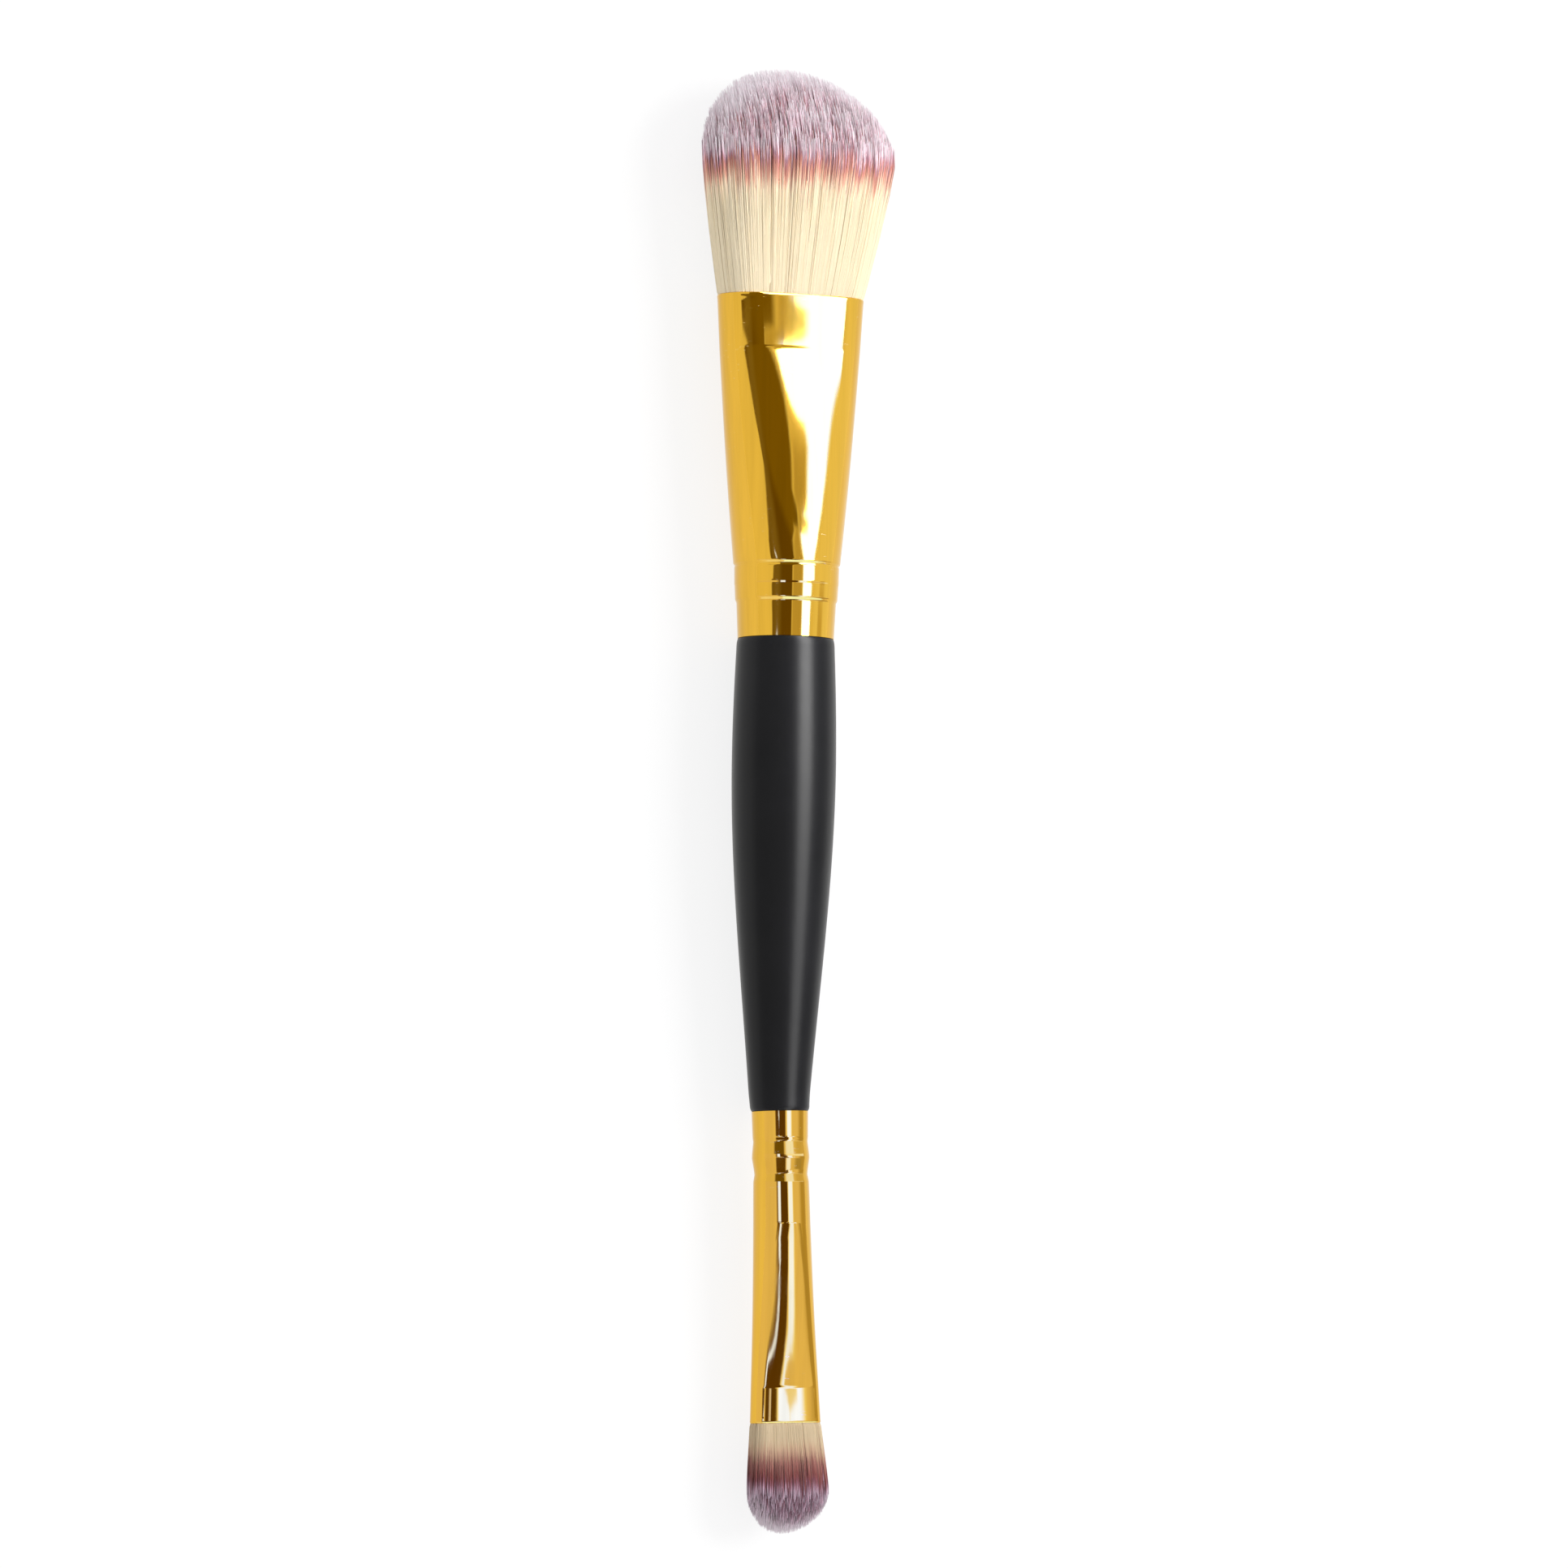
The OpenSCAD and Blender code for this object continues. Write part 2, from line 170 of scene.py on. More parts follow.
class SmallTuftSizes(bpy.types.PropertyGroup):
    """The small tuft, measured from the mouth of its ferrule."""

    length: length("Length", "Hair out of the ferrule", 13.3)
    width: length("Width", "Largest width", 10.5)
    thickness: length("Thickness", "Largest thickness", 5.3)
    widest_at: length("Widest place", "Height of the widest part over the mouth", 8.1)
    offset: length("Offset", "How far the widest part stands off the axis", 0.15)
    tip_shift: length("Tip shift", "How far the tip stands off the widest part", 0.8)
    tip_power: power("Tip power", "How late the shift sets in towards the tip", 2.2)
    side_hairs: count("Side hairs", "Hairs that show at full length", 1700)
    tip_hairs: count("Tip hairs", "Hairs whose tips form the dome", 2200)
    hair_d: length("Hair", "Diameter of a drawn hair", 0.14)
    stray: length("Stray", "How far a hair's tip wanders from its place", 0.08)
    uneven: length("Uneven", "How far short of the dome its hairs end", 0.6)


class Finishes(bpy.types.PropertyGroup):
    """Colours and gloss of the brush."""

    lacquer: colour("Lacquer", "Black lacquer of the handle", (0.006, 0.006, 0.007))
    lacquer_rough: share("Lacquer roughness", "How matt the lacquer is", 0.31)
    gold: colour("Gold", "Polished plating of the ferrules", (0.84, 0.485, 0.057))
    gold_rough: share("Gold roughness", "How dull the polish is", 0.035)
    cream: colour("Cream hair", "Lower part of the large tuft", (0.86, 0.74, 0.52))
    plum: colour("Plum hair", "Band under the tips of the large tuft", (0.58, 0.24, 0.205))
    lilac: colour("Lilac hair", "Tips of the large tuft", (0.86, 0.66, 0.72))
    tan: colour("Tan hair", "Lower part of the small tuft", (0.53, 0.415, 0.265))
    maroon: colour("Maroon hair", "Band under the tips of the small tuft", (0.13, 0.028, 0.028))
    mauve: colour("Mauve hair", "Tips of the small tuft", (0.36, 0.205, 0.27))
    glue: colour("Glue", "Set glue inside the ferrules", (0.75, 0.66, 0.42))


class StudioSettings(bpy.types.PropertyGroup):
    """Camera and light tents."""

    distance: length("Camera distance", "From the camera to the brush", 1600)
    seen_length: length("Seen length", "Side of the square that the camera takes in at the brush", 192.5)
    turn: angle("Turn", "How far the camera stands round the brush, towards -X", VIEW_TURN)
    pitch: angle("Pitch", "How far the camera stands towards the small end", 4.7)
    tip: angle("Tip", "How far the brush leans to the right in the picture", 0.64)
    aim_x: length("Aim across", "What the picture's middle shows, across the handle's axis", 0.05)
    aim_y: length("Aim along", "What the picture's middle shows, along the handle's axis", 1.9)
    tent_r: length("Tent radius", "Radius of the inmost light tent", 300)
    tent_len: length("Tent length", "Length of the light tents", 1600)


SIZES = {
    "handle": HandleSizes,
    "large_ferrule": LargeFerruleSizes,
    "small_ferrule": SmallFerruleSizes,
    "large_tuft": LargeTuftSizes,
    "small_tuft": SmallTuftSizes,
    "finishes": Finishes,
    "studio": StudioSettings,
}


def sizes(name):
    """One group of this brush's settings."""
    return getattr(bpy.context.scene, f"brush_{name}")


def lerp(a, b, k):
    """The number a share k of the way from a to b."""
    return a + (b - a) * k


def smooth(k):
    """Eases from 0 to 1 with level ends."""
    k = min(max(k, 0.0), 1.0)
    return k * k * (3 - 2 * k)


def spread(a, b, n):
    """n + 1 even steps from a to b."""
    return [lerp(a, b, i / n) for i in range(n + 1)]


def curve(a, b, slope_a, slope_b, span, k):
    """Smooth curve from a to b over a span, with a slope at each end."""
    return (
        a * (2 * k**3 - 3 * k**2 + 1)
        + b * (3 * k**2 - 2 * k**3)
        + slope_a * span * (k**3 - 2 * k**2 + k)
        + slope_b * span * (k**3 - k**2)
    )


# Places of the pieces, worked out from the sizes as the brush lies on its belly and on its large tuft


class Lie:
    """Where the brush's parts lie: its axis rises a little from the belly to the large tuft."""

    def __init__(self):
        handle, large, small = sizes("handle"), sizes("large_ferrule"), sizes("small_ferrule")
        large_tuft, small_tuft = sizes("large_tuft"), sizes("small_tuft")
        total = small_tuft.length + small.length + handle.length + large.length + large_tuft.length
        tail_y = small_tuft.length + small.length - total / 2
        belly_y = tail_y + handle.belly_at
        widest_y = tail_y + handle.length + large.length + large_tuft.widest_at
        tilt = math.asin((large_tuft.thickness - handle.belly_d) / 2 / (widest_y - belly_y))
        axis_z = handle.belly_d / 2 / math.cos(tilt) - belly_y * math.tan(tilt)
        self.lying = Matrix.Translation((0, 0, axis_z)) @ Matrix.Rotation(tilt, 4, "X")
        along = Matrix.Rotation(math.radians(-90), 4, "X")
        self.handle = self.lying @ Matrix.Translation((0, tail_y, 0)) @ along
        self.large_end = self.lying @ Matrix.Translation((0, tail_y + handle.length, 0)) @ along
        self.small_end = (
            self.lying
            @ Matrix.Translation((0, tail_y + handle.lean_depth, 0))
            @ Matrix.Rotation(handle.lean, 4, "Z")
            @ Matrix.Translation((0, -handle.lean_depth, 0))
            @ Matrix.Rotation(math.radians(90), 4, "X")
        )


# Meshes

# Points of a turned piece closer together than this become one
WELD = 0.002 * MM


def show(mesh, name, material, stands_for=(), sharp=None):
    """Makes a finished mesh a piece of the brush."""
    mesh.polygons.foreach_set("use_smooth", [True] * len(mesh.polygons))
    if sharp is not None:
        mesh.set_sharp_from_angle(angle=math.radians(sharp))
    mesh.materials.clear()
    mesh.materials.append(material)
    piece = bpy.data.objects.new(name, mesh)
    bpy.context.scene.collection.objects.link(piece)
    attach(piece, BODY)
    if stands_for:
        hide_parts(*stands_for)
    return piece


def settle(bm, name, place):
    """Turns a closed bmesh outwards, puts it in its place and makes it a mesh."""
    bmesh.ops.recalc_face_normals(bm, faces=bm.faces)
    bmesh.ops.transform(bm, matrix=place, verts=bm.verts)
    mesh = bpy.data.meshes.new(name)
    bm.to_mesh(mesh)
    bm.free()
    return mesh


def turned(bm, outline, steps):
    """Turns an outline of radii and heights, which starts and ends on the axis, into a solid."""
    last = bmesh.ops.create_vert(bm, co=(outline[0][0], 0, outline[0][1]))["vert"][0]
    for r, z in outline[1:]:
        last = bmesh.ops.extrude_vert_indiv(bm, verts=[last])["verts"][0]
        last.co = (r, 0, z)
    bmesh.ops.spin(
        bm,
        geom=bm.verts[:] + bm.edges[:],
        cent=(0, 0, 0),
        axis=(0, 0, 1),
        angle=2 * math.pi,
        steps=steps,
        use_merge=True,
        use_normal_flip=False,
        use_duplicate=False,
    )
    bmesh.ops.remove_doubles(bm, verts=bm.verts, dist=WELD)


def lofted(bm, rings, closed):
    """A skin through rings of equally many points: a tube closed on itself, or a solid with filled ends."""
    n = len(rings[0])
    first = bmesh.ops.create_circle(bm, cap_ends=False, segments=n, radius=1)["verts"]
    loop = sorted(first, key=lambda v: math.atan2(v.co.y, v.co.x))
    for v, at in zip(loop, rings[0]):
        v.co = at
    edges = list({e for v in loop for e in v.link_edges})
    start_edges = list(edges)
    for ring in rings[1:]:
        made = bmesh.ops.extrude_edge_only(bm, edges=edges)["geom"]
        fresh = {g for g in made if isinstance(g, bmesh.types.BMVert)}
        above = {next(e.other_vert(v) for e in v.link_edges if e.other_vert(v) not in fresh): v for v in fresh}
        loop = [above[v] for v in loop]
        for v, at in zip(loop, ring):
            v.co = at
        edges = [g for g in made if isinstance(g, bmesh.types.BMEdge) and set(g.verts) <= fresh]
    if closed:
        bmesh.ops.bridge_loops(bm, edges=start_edges + edges)
    else:
        bmesh.ops.edgeloop_fill(bm, edges=start_edges)
        bmesh.ops.edgeloop_fill(bm, edges=edges)


def between(a, b, k):
    """The ring a share k of the way from ring a to ring b."""
    return [p.lerp(q, k) for p, q in zip(a, b)]


def gap(a, b):
    """Largest distance between matching points of two rings."""
    return max((p - q).length for p, q in zip(a, b))


def eased(rings, reach):
    """The rings with each inner one replaced by a small rounded corner, and a support ring on each side of it."""
    most, support, most_support = 0.3, 1.6, 0.45
    out = [rings[0]]
    for before, at, after in zip(rings, rings[1:], rings[2:]):
        low, high = min(reach / gap(before, at), most), min(reach / gap(at, after), most)
        start, end = between(at, before, low), between(at, after, high)
        out.append(between(at, before, min(support * low, most_support)))
        out += [between(between(start, at, k), between(at, end, k), k) for k in spread(0, 1, 4)]
        out.append(between(at, after, min(support * high, most_support)))
    return out + [rings[-1]]


# Ferrules

# Points of a ring, those on each of its two flats, and how far the flats' normals turn to each side
RING_POINTS = 176
FLAT_POINTS = 32
FLAT_TURN = math.radians(5)
# A flat that is rounded less than this is plain
LEAST_CROWN = 1e-4
SLACK = 1e-9
# Thickness of the metal, and width and depth of a rolled line
METAL = 0.4 * MM
LINE_W, LINE_DEPTH = 0.25 * MM, 0.06 * MM
# Reach of the rounded corners on the round part and at the crease
NECK_CORNER, CREASE_CORNER = 0.12 * MM, 0.45 * MM
# Steps up the sloping part, up the band and round the lip
SLOPE_STEPS, BAND_STEPS, LIP_STEPS = 22, 10, 8


def ring_turns():
    """Normal angles of a ring's points, closer together where the flats lie."""
    round_points = (RING_POINTS - 2 * FLAT_POINTS) // 2
    edge = math.pi / 2 - FLAT_TURN
    side = [lerp(-edge, edge, (i + 0.5) / round_points) for i in range(round_points)]
    half = side + spread(edge, math.pi / 2 + FLAT_TURN, FLAT_POINTS - 1)
    turns = half + [a + math.pi for a in half]
    return sorted((a + math.pi) % (2 * math.pi) - math.pi for a in turns)


TURNS = ring_turns()


def section(w, t, crown, z):
    """Ring of a slot w wide and t thick, whose flats are rounded by an angle to each side."""
    rise = math.tan(crown / 2)
    t = (t - w * rise) / (1 - rise)
    h = (w - t) / 2
    points = []
    for a in TURNS:
        up = 1 if a >= 0 else -1
        off = a * up - math.pi / 2
        if abs(off) <= FLAT_TURN + SLACK:
            share_off = off / FLAT_TURN
            lean = crown * share_off
            across = math.sin(lean) / math.sin(crown) if crown > LEAST_CROWN else share_off
            lift = h * (math.cos(lean) - math.cos(crown)) / math.sin(crown) if crown > LEAST_CROWN else 0
            x = -h * across - t / 2 * math.sin(lean)
            y = t / 2 * math.cos(lean) + lift
        else:
            k = (abs(off) - FLAT_TURN) / (math.pi / 2 - FLAT_TURN)
            side = 1 if off < 0 else -1
            turn = lerp(math.pi / 2 - crown, 0, k)
            x = side * (h + t / 2 * math.cos(turn))
            y = t / 2 * math.sin(turn)
        points.append(Vector((x, up * y, z)))
    return points


def large_neck(s):
    """Radii and heights of the large ferrule's round part."""
    rolled = 0.35 * MM
    top = s.step_at + s.collar_len
    return [
        (s.end_d / 2, 0),
        (s.below_step_d / 2, s.step_at),
        (s.above_step_d / 2, s.step_at + rolled),
        (lerp(s.above_step_d, s.collar_d, 0.55) / 2, lerp(s.step_at, top, 0.48)),
        (lerp(s.above_step_d, s.collar_d, 0.8) / 2, lerp(s.step_at, top, 0.54)),
        (s.collar_d / 2, top),
        (s.collar_d / 2 - LINE_DEPTH, top + LINE_W),
    ]


def small_neck(s):
    """Radii and heights of the small ferrule's round part."""
    past, level = 0.9 * MM, 2.6 * MM
    return [
        (s.end_d / 2, 0),
        (s.groove1_d / 2 + LINE_DEPTH, s.groove1_at - 2 * LINE_W),
        (s.groove1_d / 2, s.groove1_at),
        (s.crest_d / 2 - 0.4 * LINE_DEPTH, s.crest_at - 2 * LINE_W),
        (s.crest_d / 2, s.crest_at),
        (s.groove2_d / 2 + LINE_DEPTH, s.groove2_at - 2 * LINE_W),
        (s.groove2_d / 2, s.groove2_at),
        (s.past_groove_d / 2, s.groove2_at + past),
        (s.neck_d / 2 - LINE_DEPTH, s.groove2_at + level),
    ]


def ferrule_wall(s, neck, inset):
    """Rings of one side of a ferrule's wall, from the handle to the mouth, an inset inside its outer side."""
    crease = s.length - s.band_len

    def slope(k):
        """The ring a share k of the way up the sloping part."""
        half_turn = math.sin(math.pi * k)
        w = lerp(s.neck_d, s.crease_w, k) + s.swell * half_turn - 2 * inset
        t = lerp(s.neck_d, s.mouth_t, k**s.slope_power) - 2 * inset
        crown = lerp(FLAT_TURN, s.crown, k) + s.slope_crown * half_turn
        return section(w, t, crown, lerp(s.neck_len, crease, k))

    def flat_band(k):
        """The ring a share k of the way up the band."""
        w = lerp(s.crease_w, s.mouth_w, k) - 2 * inset
        return section(w, s.mouth_t - 2 * inset, s.crown, lerp(crease, s.length, k))

    corners = [section(2 * (r - inset), 2 * (r - inset), FLAT_TURN, z) for r, z in neck]
    rings = eased(corners + [slope(0), slope(2 / SLOPE_STEPS)], NECK_CORNER)[:-1]
    rings += [slope(i / SLOPE_STEPS) for i in range(2, SLOPE_STEPS)]
    band = [flat_band(k) for k in spread(0, 1, BAND_STEPS)]
    return rings + eased([rings[-1], band[0], band[1]], CREASE_CORNER)[1:-1] + band[1:]


def ferrule(s, neck, name, place):
    """A crimped ferrule: round at the handle, flattened to its mouth, with a rounded lip and an inner wall."""
    outer, inner = ferrule_wall(s, neck, 0), ferrule_wall(s, neck, METAL)
    lip = []
    for a in spread(0, math.pi, LIP_STEPS):
        ring = between(outer[-1], inner[-1], (1 - math.cos(a)) / 2)
        lip.append([Vector((p.x, p.y, s.length - METAL / 2 * (1 - math.sin(a)))) for p in ring])
    below = [[Vector((p.x, p.y, s.length - 0.8 * METAL)) for p in wall[-1]] for wall in (outer, inner)]
    rings = outer[:-1] + [below[0]] + lip + [below[1]] + inner[-2::-1]
    bm = bmesh.new()
    lofted(bm, rings, True)
    return settle(bm, name, place)


# Hair

# How far the hair stands inside the ferrule's outer side at its mouth, and how deep a drawn hair reaches into it
HAIR_INSET, HAIR_ROOT = 0.46 * MM, 1.2 * MM
# Height over the mouth at which the hair has spread out over the lip
LIP_RISE = 0.35 * MM
# As shares of the half width: the skin, how deep under it side hairs stand, and how far out dome hairs stand
SKIN, SIDE_DEPTH, DOME_REACH = 0.99, 0.19, 0.97
# The share of short hairs, and the most that they lack, as a share of the tuft's length
SHORT_SHARE, SHORT_BY = 0.08, 0.06
# Hairs closer together than this stray the same way
CLUMP = 1.6 * MM
# Points over the mouth: of a side hair as shares of its height, of a dome hair by shares of the tuft's length downwards
SIDE_POINTS, DOME_POINTS = (0.14, 0.42, 0.7, 0.88, 1), (0.34, 0.2, 0.09, 0)
TAPER = [1, 0.95, 0.78, 0.3]
HAIR_WELD = 0.00001 * MM
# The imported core: its points round, how deep its root lies, and how far it stays under the widest part and the dome
CORE_POINTS = 96
CORE_ROOT, CORE_UNDER_WIDEST, CORE_UNDER_DOME = 2.5 * MM, 1.5 * MM, 1.2 * MM
# Its share of the tuft's section in the mouth, over the mouth and in the dome
CORE_IN_MOUTH, CORE_OVER_MOUTH, CORE_IN_DOME = 0.985, 0.955, 0.93


def half_thickness(w, t, s, crown, oval):
    """Half the thickness of a tuft's section at the share s of its half width."""
    rise = math.tan(crown / 2)
    flat_t = (t - w * rise) / (1 - rise)
    h, x = (w - flat_t) / 2, abs(w / 2 * s)
    if x < h:
        slot = flat_t / 2 + h * rise * (1 - (x / h) ** 2)
    else:
        slot = flat_t / 2 * math.sqrt(max(0.0, 1 - ((x - h) / (flat_t / 2)) ** 2))
    return lerp(slot, t / 2 * math.sqrt(max(0.0, 1 - s * s)), oval)


class TuftForm:
    """The space that a tuft fills, over and just inside its ferrule's mouth."""

    side_power = 1.25
    oval_share = 0.85

    def __init__(self, tuft, ferrule_sizes):
        self.t, self.f = tuft, ferrule_sizes
        self.dome = tuft.length - tuft.widest_at

    def tip_height(self, s, y):
        """Height over the mouth at which a hair ends, by its place in the widest section."""
        rho = min(1.0, math.hypot(s, y))
        return self.t.widest_at + self.dome * math.sqrt(1 - rho * rho)

    def at(self, s, q, h, tip):
        """Place of a hair's point at height h over the mouth, where s and q are its shares of width and thickness."""
        t, f = self.t, self.f
        k = 1 - (1 - min(max(h, 0) / t.widest_at, 1)) ** self.side_power
        inside = 2 * HAIR_INSET * (1 - smooth(h / LIP_RISE))
        w = lerp(f.mouth_w - inside, t.width, k)
        thick = lerp(f.mouth_t - inside, t.thickness, k)
        half = half_thickness(w, thick, s, f.crown * (1 - k), self.oval_share * k)
        x = t.offset * k + w / 2 * s
        if h > t.widest_at and tip > t.widest_at:
            up = (tip - t.widest_at) / self.dome
            x -= t.tip_shift * up**t.tip_power * ((h - t.widest_at) / (tip - t.widest_at)) ** 1.5
        return Vector((x, q * half, f.length + h))


def hair_strands(form, hairs, sides, seed):
    """Paths of the side hairs or the dome hairs: each a list of (point, radius share, way to the tip), and a shade."""
    rng = random.Random(seed)
    t = form.t
    strands = []
    while len(strands) < hairs:
        if sides:
            rho = 1 - SIDE_DEPTH * rng.random() ** 2.4
            turn = rng.uniform(-math.pi, math.pi)
            if rng.random() > math.hypot(t.width * math.sin(turn), t.thickness * math.cos(turn)) / t.width:
                continue
            s, y = rho * math.cos(turn), rho * math.sin(turn)
        else:
            s, y = rng.uniform(-1, 1), rng.uniform(-1, 1)
            if math.hypot(s, y) > DOME_REACH:
                continue
        s, y = SKIN * s, SKIN * y
        q = max(-1.0, min(1.0, y / math.sqrt(1 - s * s)))
        tip = form.tip_height(s, y) - t.uneven * (rng.random() ** 1.6 - 0.3)
        if rng.random() < SHORT_SHARE:
            tip -= rng.random() * SHORT_BY * t.length
        clump = Vector((s * t.width, y * t.thickness, 0)) / CLUMP
        across = noise.noise(clump) + 0.5 * noise.noise(clump * 2.7)
        pull = Vector((across, noise.noise(clump + Vector((17, 5, 3))), 0)) * 0.5 * t.stray
        stray = Vector((rng.gauss(0, t.stray), rng.gauss(0, t.stray * 0.7), 0)) * 0.8
        if sides:
            heights = [-HAIR_ROOT, LIP_RISE] + [k * tip for k in SIDE_POINTS]
        else:
            heights = [tip - k * t.length for k in DOME_POINTS]
        widths = [1] * (len(heights) - len(TAPER)) + TAPER
        path = []
        for h, width in zip(heights, widths):
            share_up = max(h, 0) / tip
            point = form.at(s, q, h, tip) + (pull + stray) * share_up**2.2
            path.append((point, width, tip - h))
        strands.append((path, rng.random()))
    return strands


def hair(form, strands, name, place):
    """Draws strands as thin tapered tubes, and keeps each point's distance from the tip and each strand's shade."""
    drawn = bpy.data.curves.new(name, "CURVE")
    drawn.dimensions = "3D"
    drawn.fill_mode = "FULL"
    hair_r = form.t.hair_d / 2
    drawn.bevel_depth = hair_r
    drawn.bevel_resolution = 0
    drawn.use_fill_caps = True
    for path, _ in strands:
        spline = drawn.splines.new("POLY")
        spline.points.add(len(path) - 1)
        places = [place @ point for point, _, _ in path]
        spline.points.foreach_set("co", [c for p in places for c in (p.x, p.y, max(p.z, hair_r), 1)])
        spline.points.foreach_set("radius", [width for _, width, _ in path])
    holder = bpy.data.objects.new(name + "_path", drawn)
    bpy.context.scene.collection.objects.link(holder)
    evaluated = holder.evaluated_get(bpy.context.evaluated_depsgraph_get())
    mesh = bpy.data.meshes.new_from_object(evaluated)
    bpy.data.objects.remove(holder)
    bpy.data.curves.remove(drawn)
    # A capped curve gives its caps first, from the last spline to the first, and then its tubes
    order = [(path[i], tone) for path, tone in reversed(strands) for i in (-1, 0)]
    order += [(point, tone) for path, tone in strands for point in path]
    if len(mesh.vertices) != 4 * len(order):
        raise RuntimeError(f"{name} has {len(mesh.vertices)} points and not {4 * len(order)}")
    from_tip = [back / MM for (_, _, back), _ in order for _ in range(4)]
    shade = [tone for _, tone in order for _ in range(4)]
    for key, values in (("from_tip", from_tip), ("shade", shade)):
        mesh.attributes.new(key, "FLOAT", "POINT").data.foreach_set("value", values)
    bm = bmesh.new()
    bm.from_mesh(mesh)
    bmesh.ops.remove_doubles(bm, verts=bm.verts, dist=HAIR_WELD)
    bm.to_mesh(mesh)
    bm.free()
    mesh.name = name
    return mesh


def hair_core(form, name, place):
    """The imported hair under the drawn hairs: a closed solid from inside the ferrule to under the dome."""
    t = form.t
    turns = [2 * math.pi * (i + 0.5) / CORE_POINTS - math.pi for i in range(CORE_POINTS)]
    top = t.widest_at - CORE_UNDER_WIDEST
    rings = []
    for h in [-CORE_ROOT, -1 * MM, 0] + spread(0.08 * top, top, 9):
        size = lerp(CORE_IN_MOUTH, CORE_OVER_MOUTH, smooth(h / (5 * MM)))
        rings.append(core_ring(form, turns, size, max(h, 0), h))
    for degrees in spread(0, 86, 9)[1:]:
        a = math.radians(degrees)
        up = top + (form.dome - CORE_UNDER_DOME) * math.sin(a)
        rings.append(core_ring(form, turns, CORE_IN_DOME * math.cos(a), t.widest_at, up))
    bm = bmesh.new()
    lofted(bm, rings, False)
    return settle(bm, name, place)


def core_ring(form, turns, size, section_at, height):
    """One ring of a core, a share of the tuft's section at one height, set at another."""
    ring = []
    tip = form.t.length
    centre = form.at(0, 0, section_at, tip)
    shift = form.at(0, 0, max(height, 0), tip).x - centre.x
    for a in turns:
        edge = form.at(math.cos(a), 1 if math.sin(a) >= 0 else -1, section_at, tip)
        point = centre.lerp(edge, size)
        ring.append(Vector((point.x + shift, point.y, form.f.length + height)))
    return ring


# Materials


class Value:
    """A number or colour that a material works out. The usual operators add Math nodes."""

    def __init__(self, recipe, socket):
        self.recipe, self.socket = recipe, socket

    def math(self, operation, *terms):
        return self.recipe.add("ShaderNodeMath", {"operation": operation}, dict(enumerate(terms)))

    def __add__(self, other):
        return self.math("ADD", self, other)

    def __sub__(self, other):
        return self.math("SUBTRACT", self, other)

    def __mul__(self, other):
        return self.math("MULTIPLY", self, other)

    def __truediv__(self, other):
        return self.math("DIVIDE", self, other)

    def __pow__(self, other):
        return self.math("POWER", self, other)

    def __radd__(self, other):
        return self.math("ADD", other, self)

    def __rsub__(self, other):
        return self.math("SUBTRACT", other, self)

    def __rmul__(self, other):
        return self.math("MULTIPLY", other, self)

    def __rtruediv__(self, other):
        return self.math("DIVIDE", other, self)

    def least(self, other):
        return self.math("MINIMUM", self, other)

    def most(self, other):
        return self.math("MAXIMUM", self, other)

    def size(self):
        return self.math("ABSOLUTE", self)

    def step(self, low, high):
        """Rises smoothly from 0 at low to 1 at high."""
        return self.recipe.add(
            "ShaderNodeMapRange",
            {"interpolation_type": "SMOOTHSTEP"},
            {"Value": self, "From Min": low, "From Max": high},
        )

    def drop(self, low, high):
        """Falls smoothly from 1 at low to 0 at high."""
        return 1 - self.step(low, high)

    def along(self, *points):
        """Straight pieces through points of this value and the result there."""
        total = points[0][1]
        for (a, result_a), (b, result_b) in zip(points, points[1:]):
            piece = {"Value": self, "From Min": a, "From Max": b, "To Min": 0.0, "To Max": result_b - result_a}
            total = self.recipe.add("ShaderNodeMapRange", {}, piece) + total
        return total

    def inside(self, low, high, soft):
        """1 between low and high, with soft edges."""
        return self.step(low - soft, low + soft) * self.drop(high - soft, high + soft)


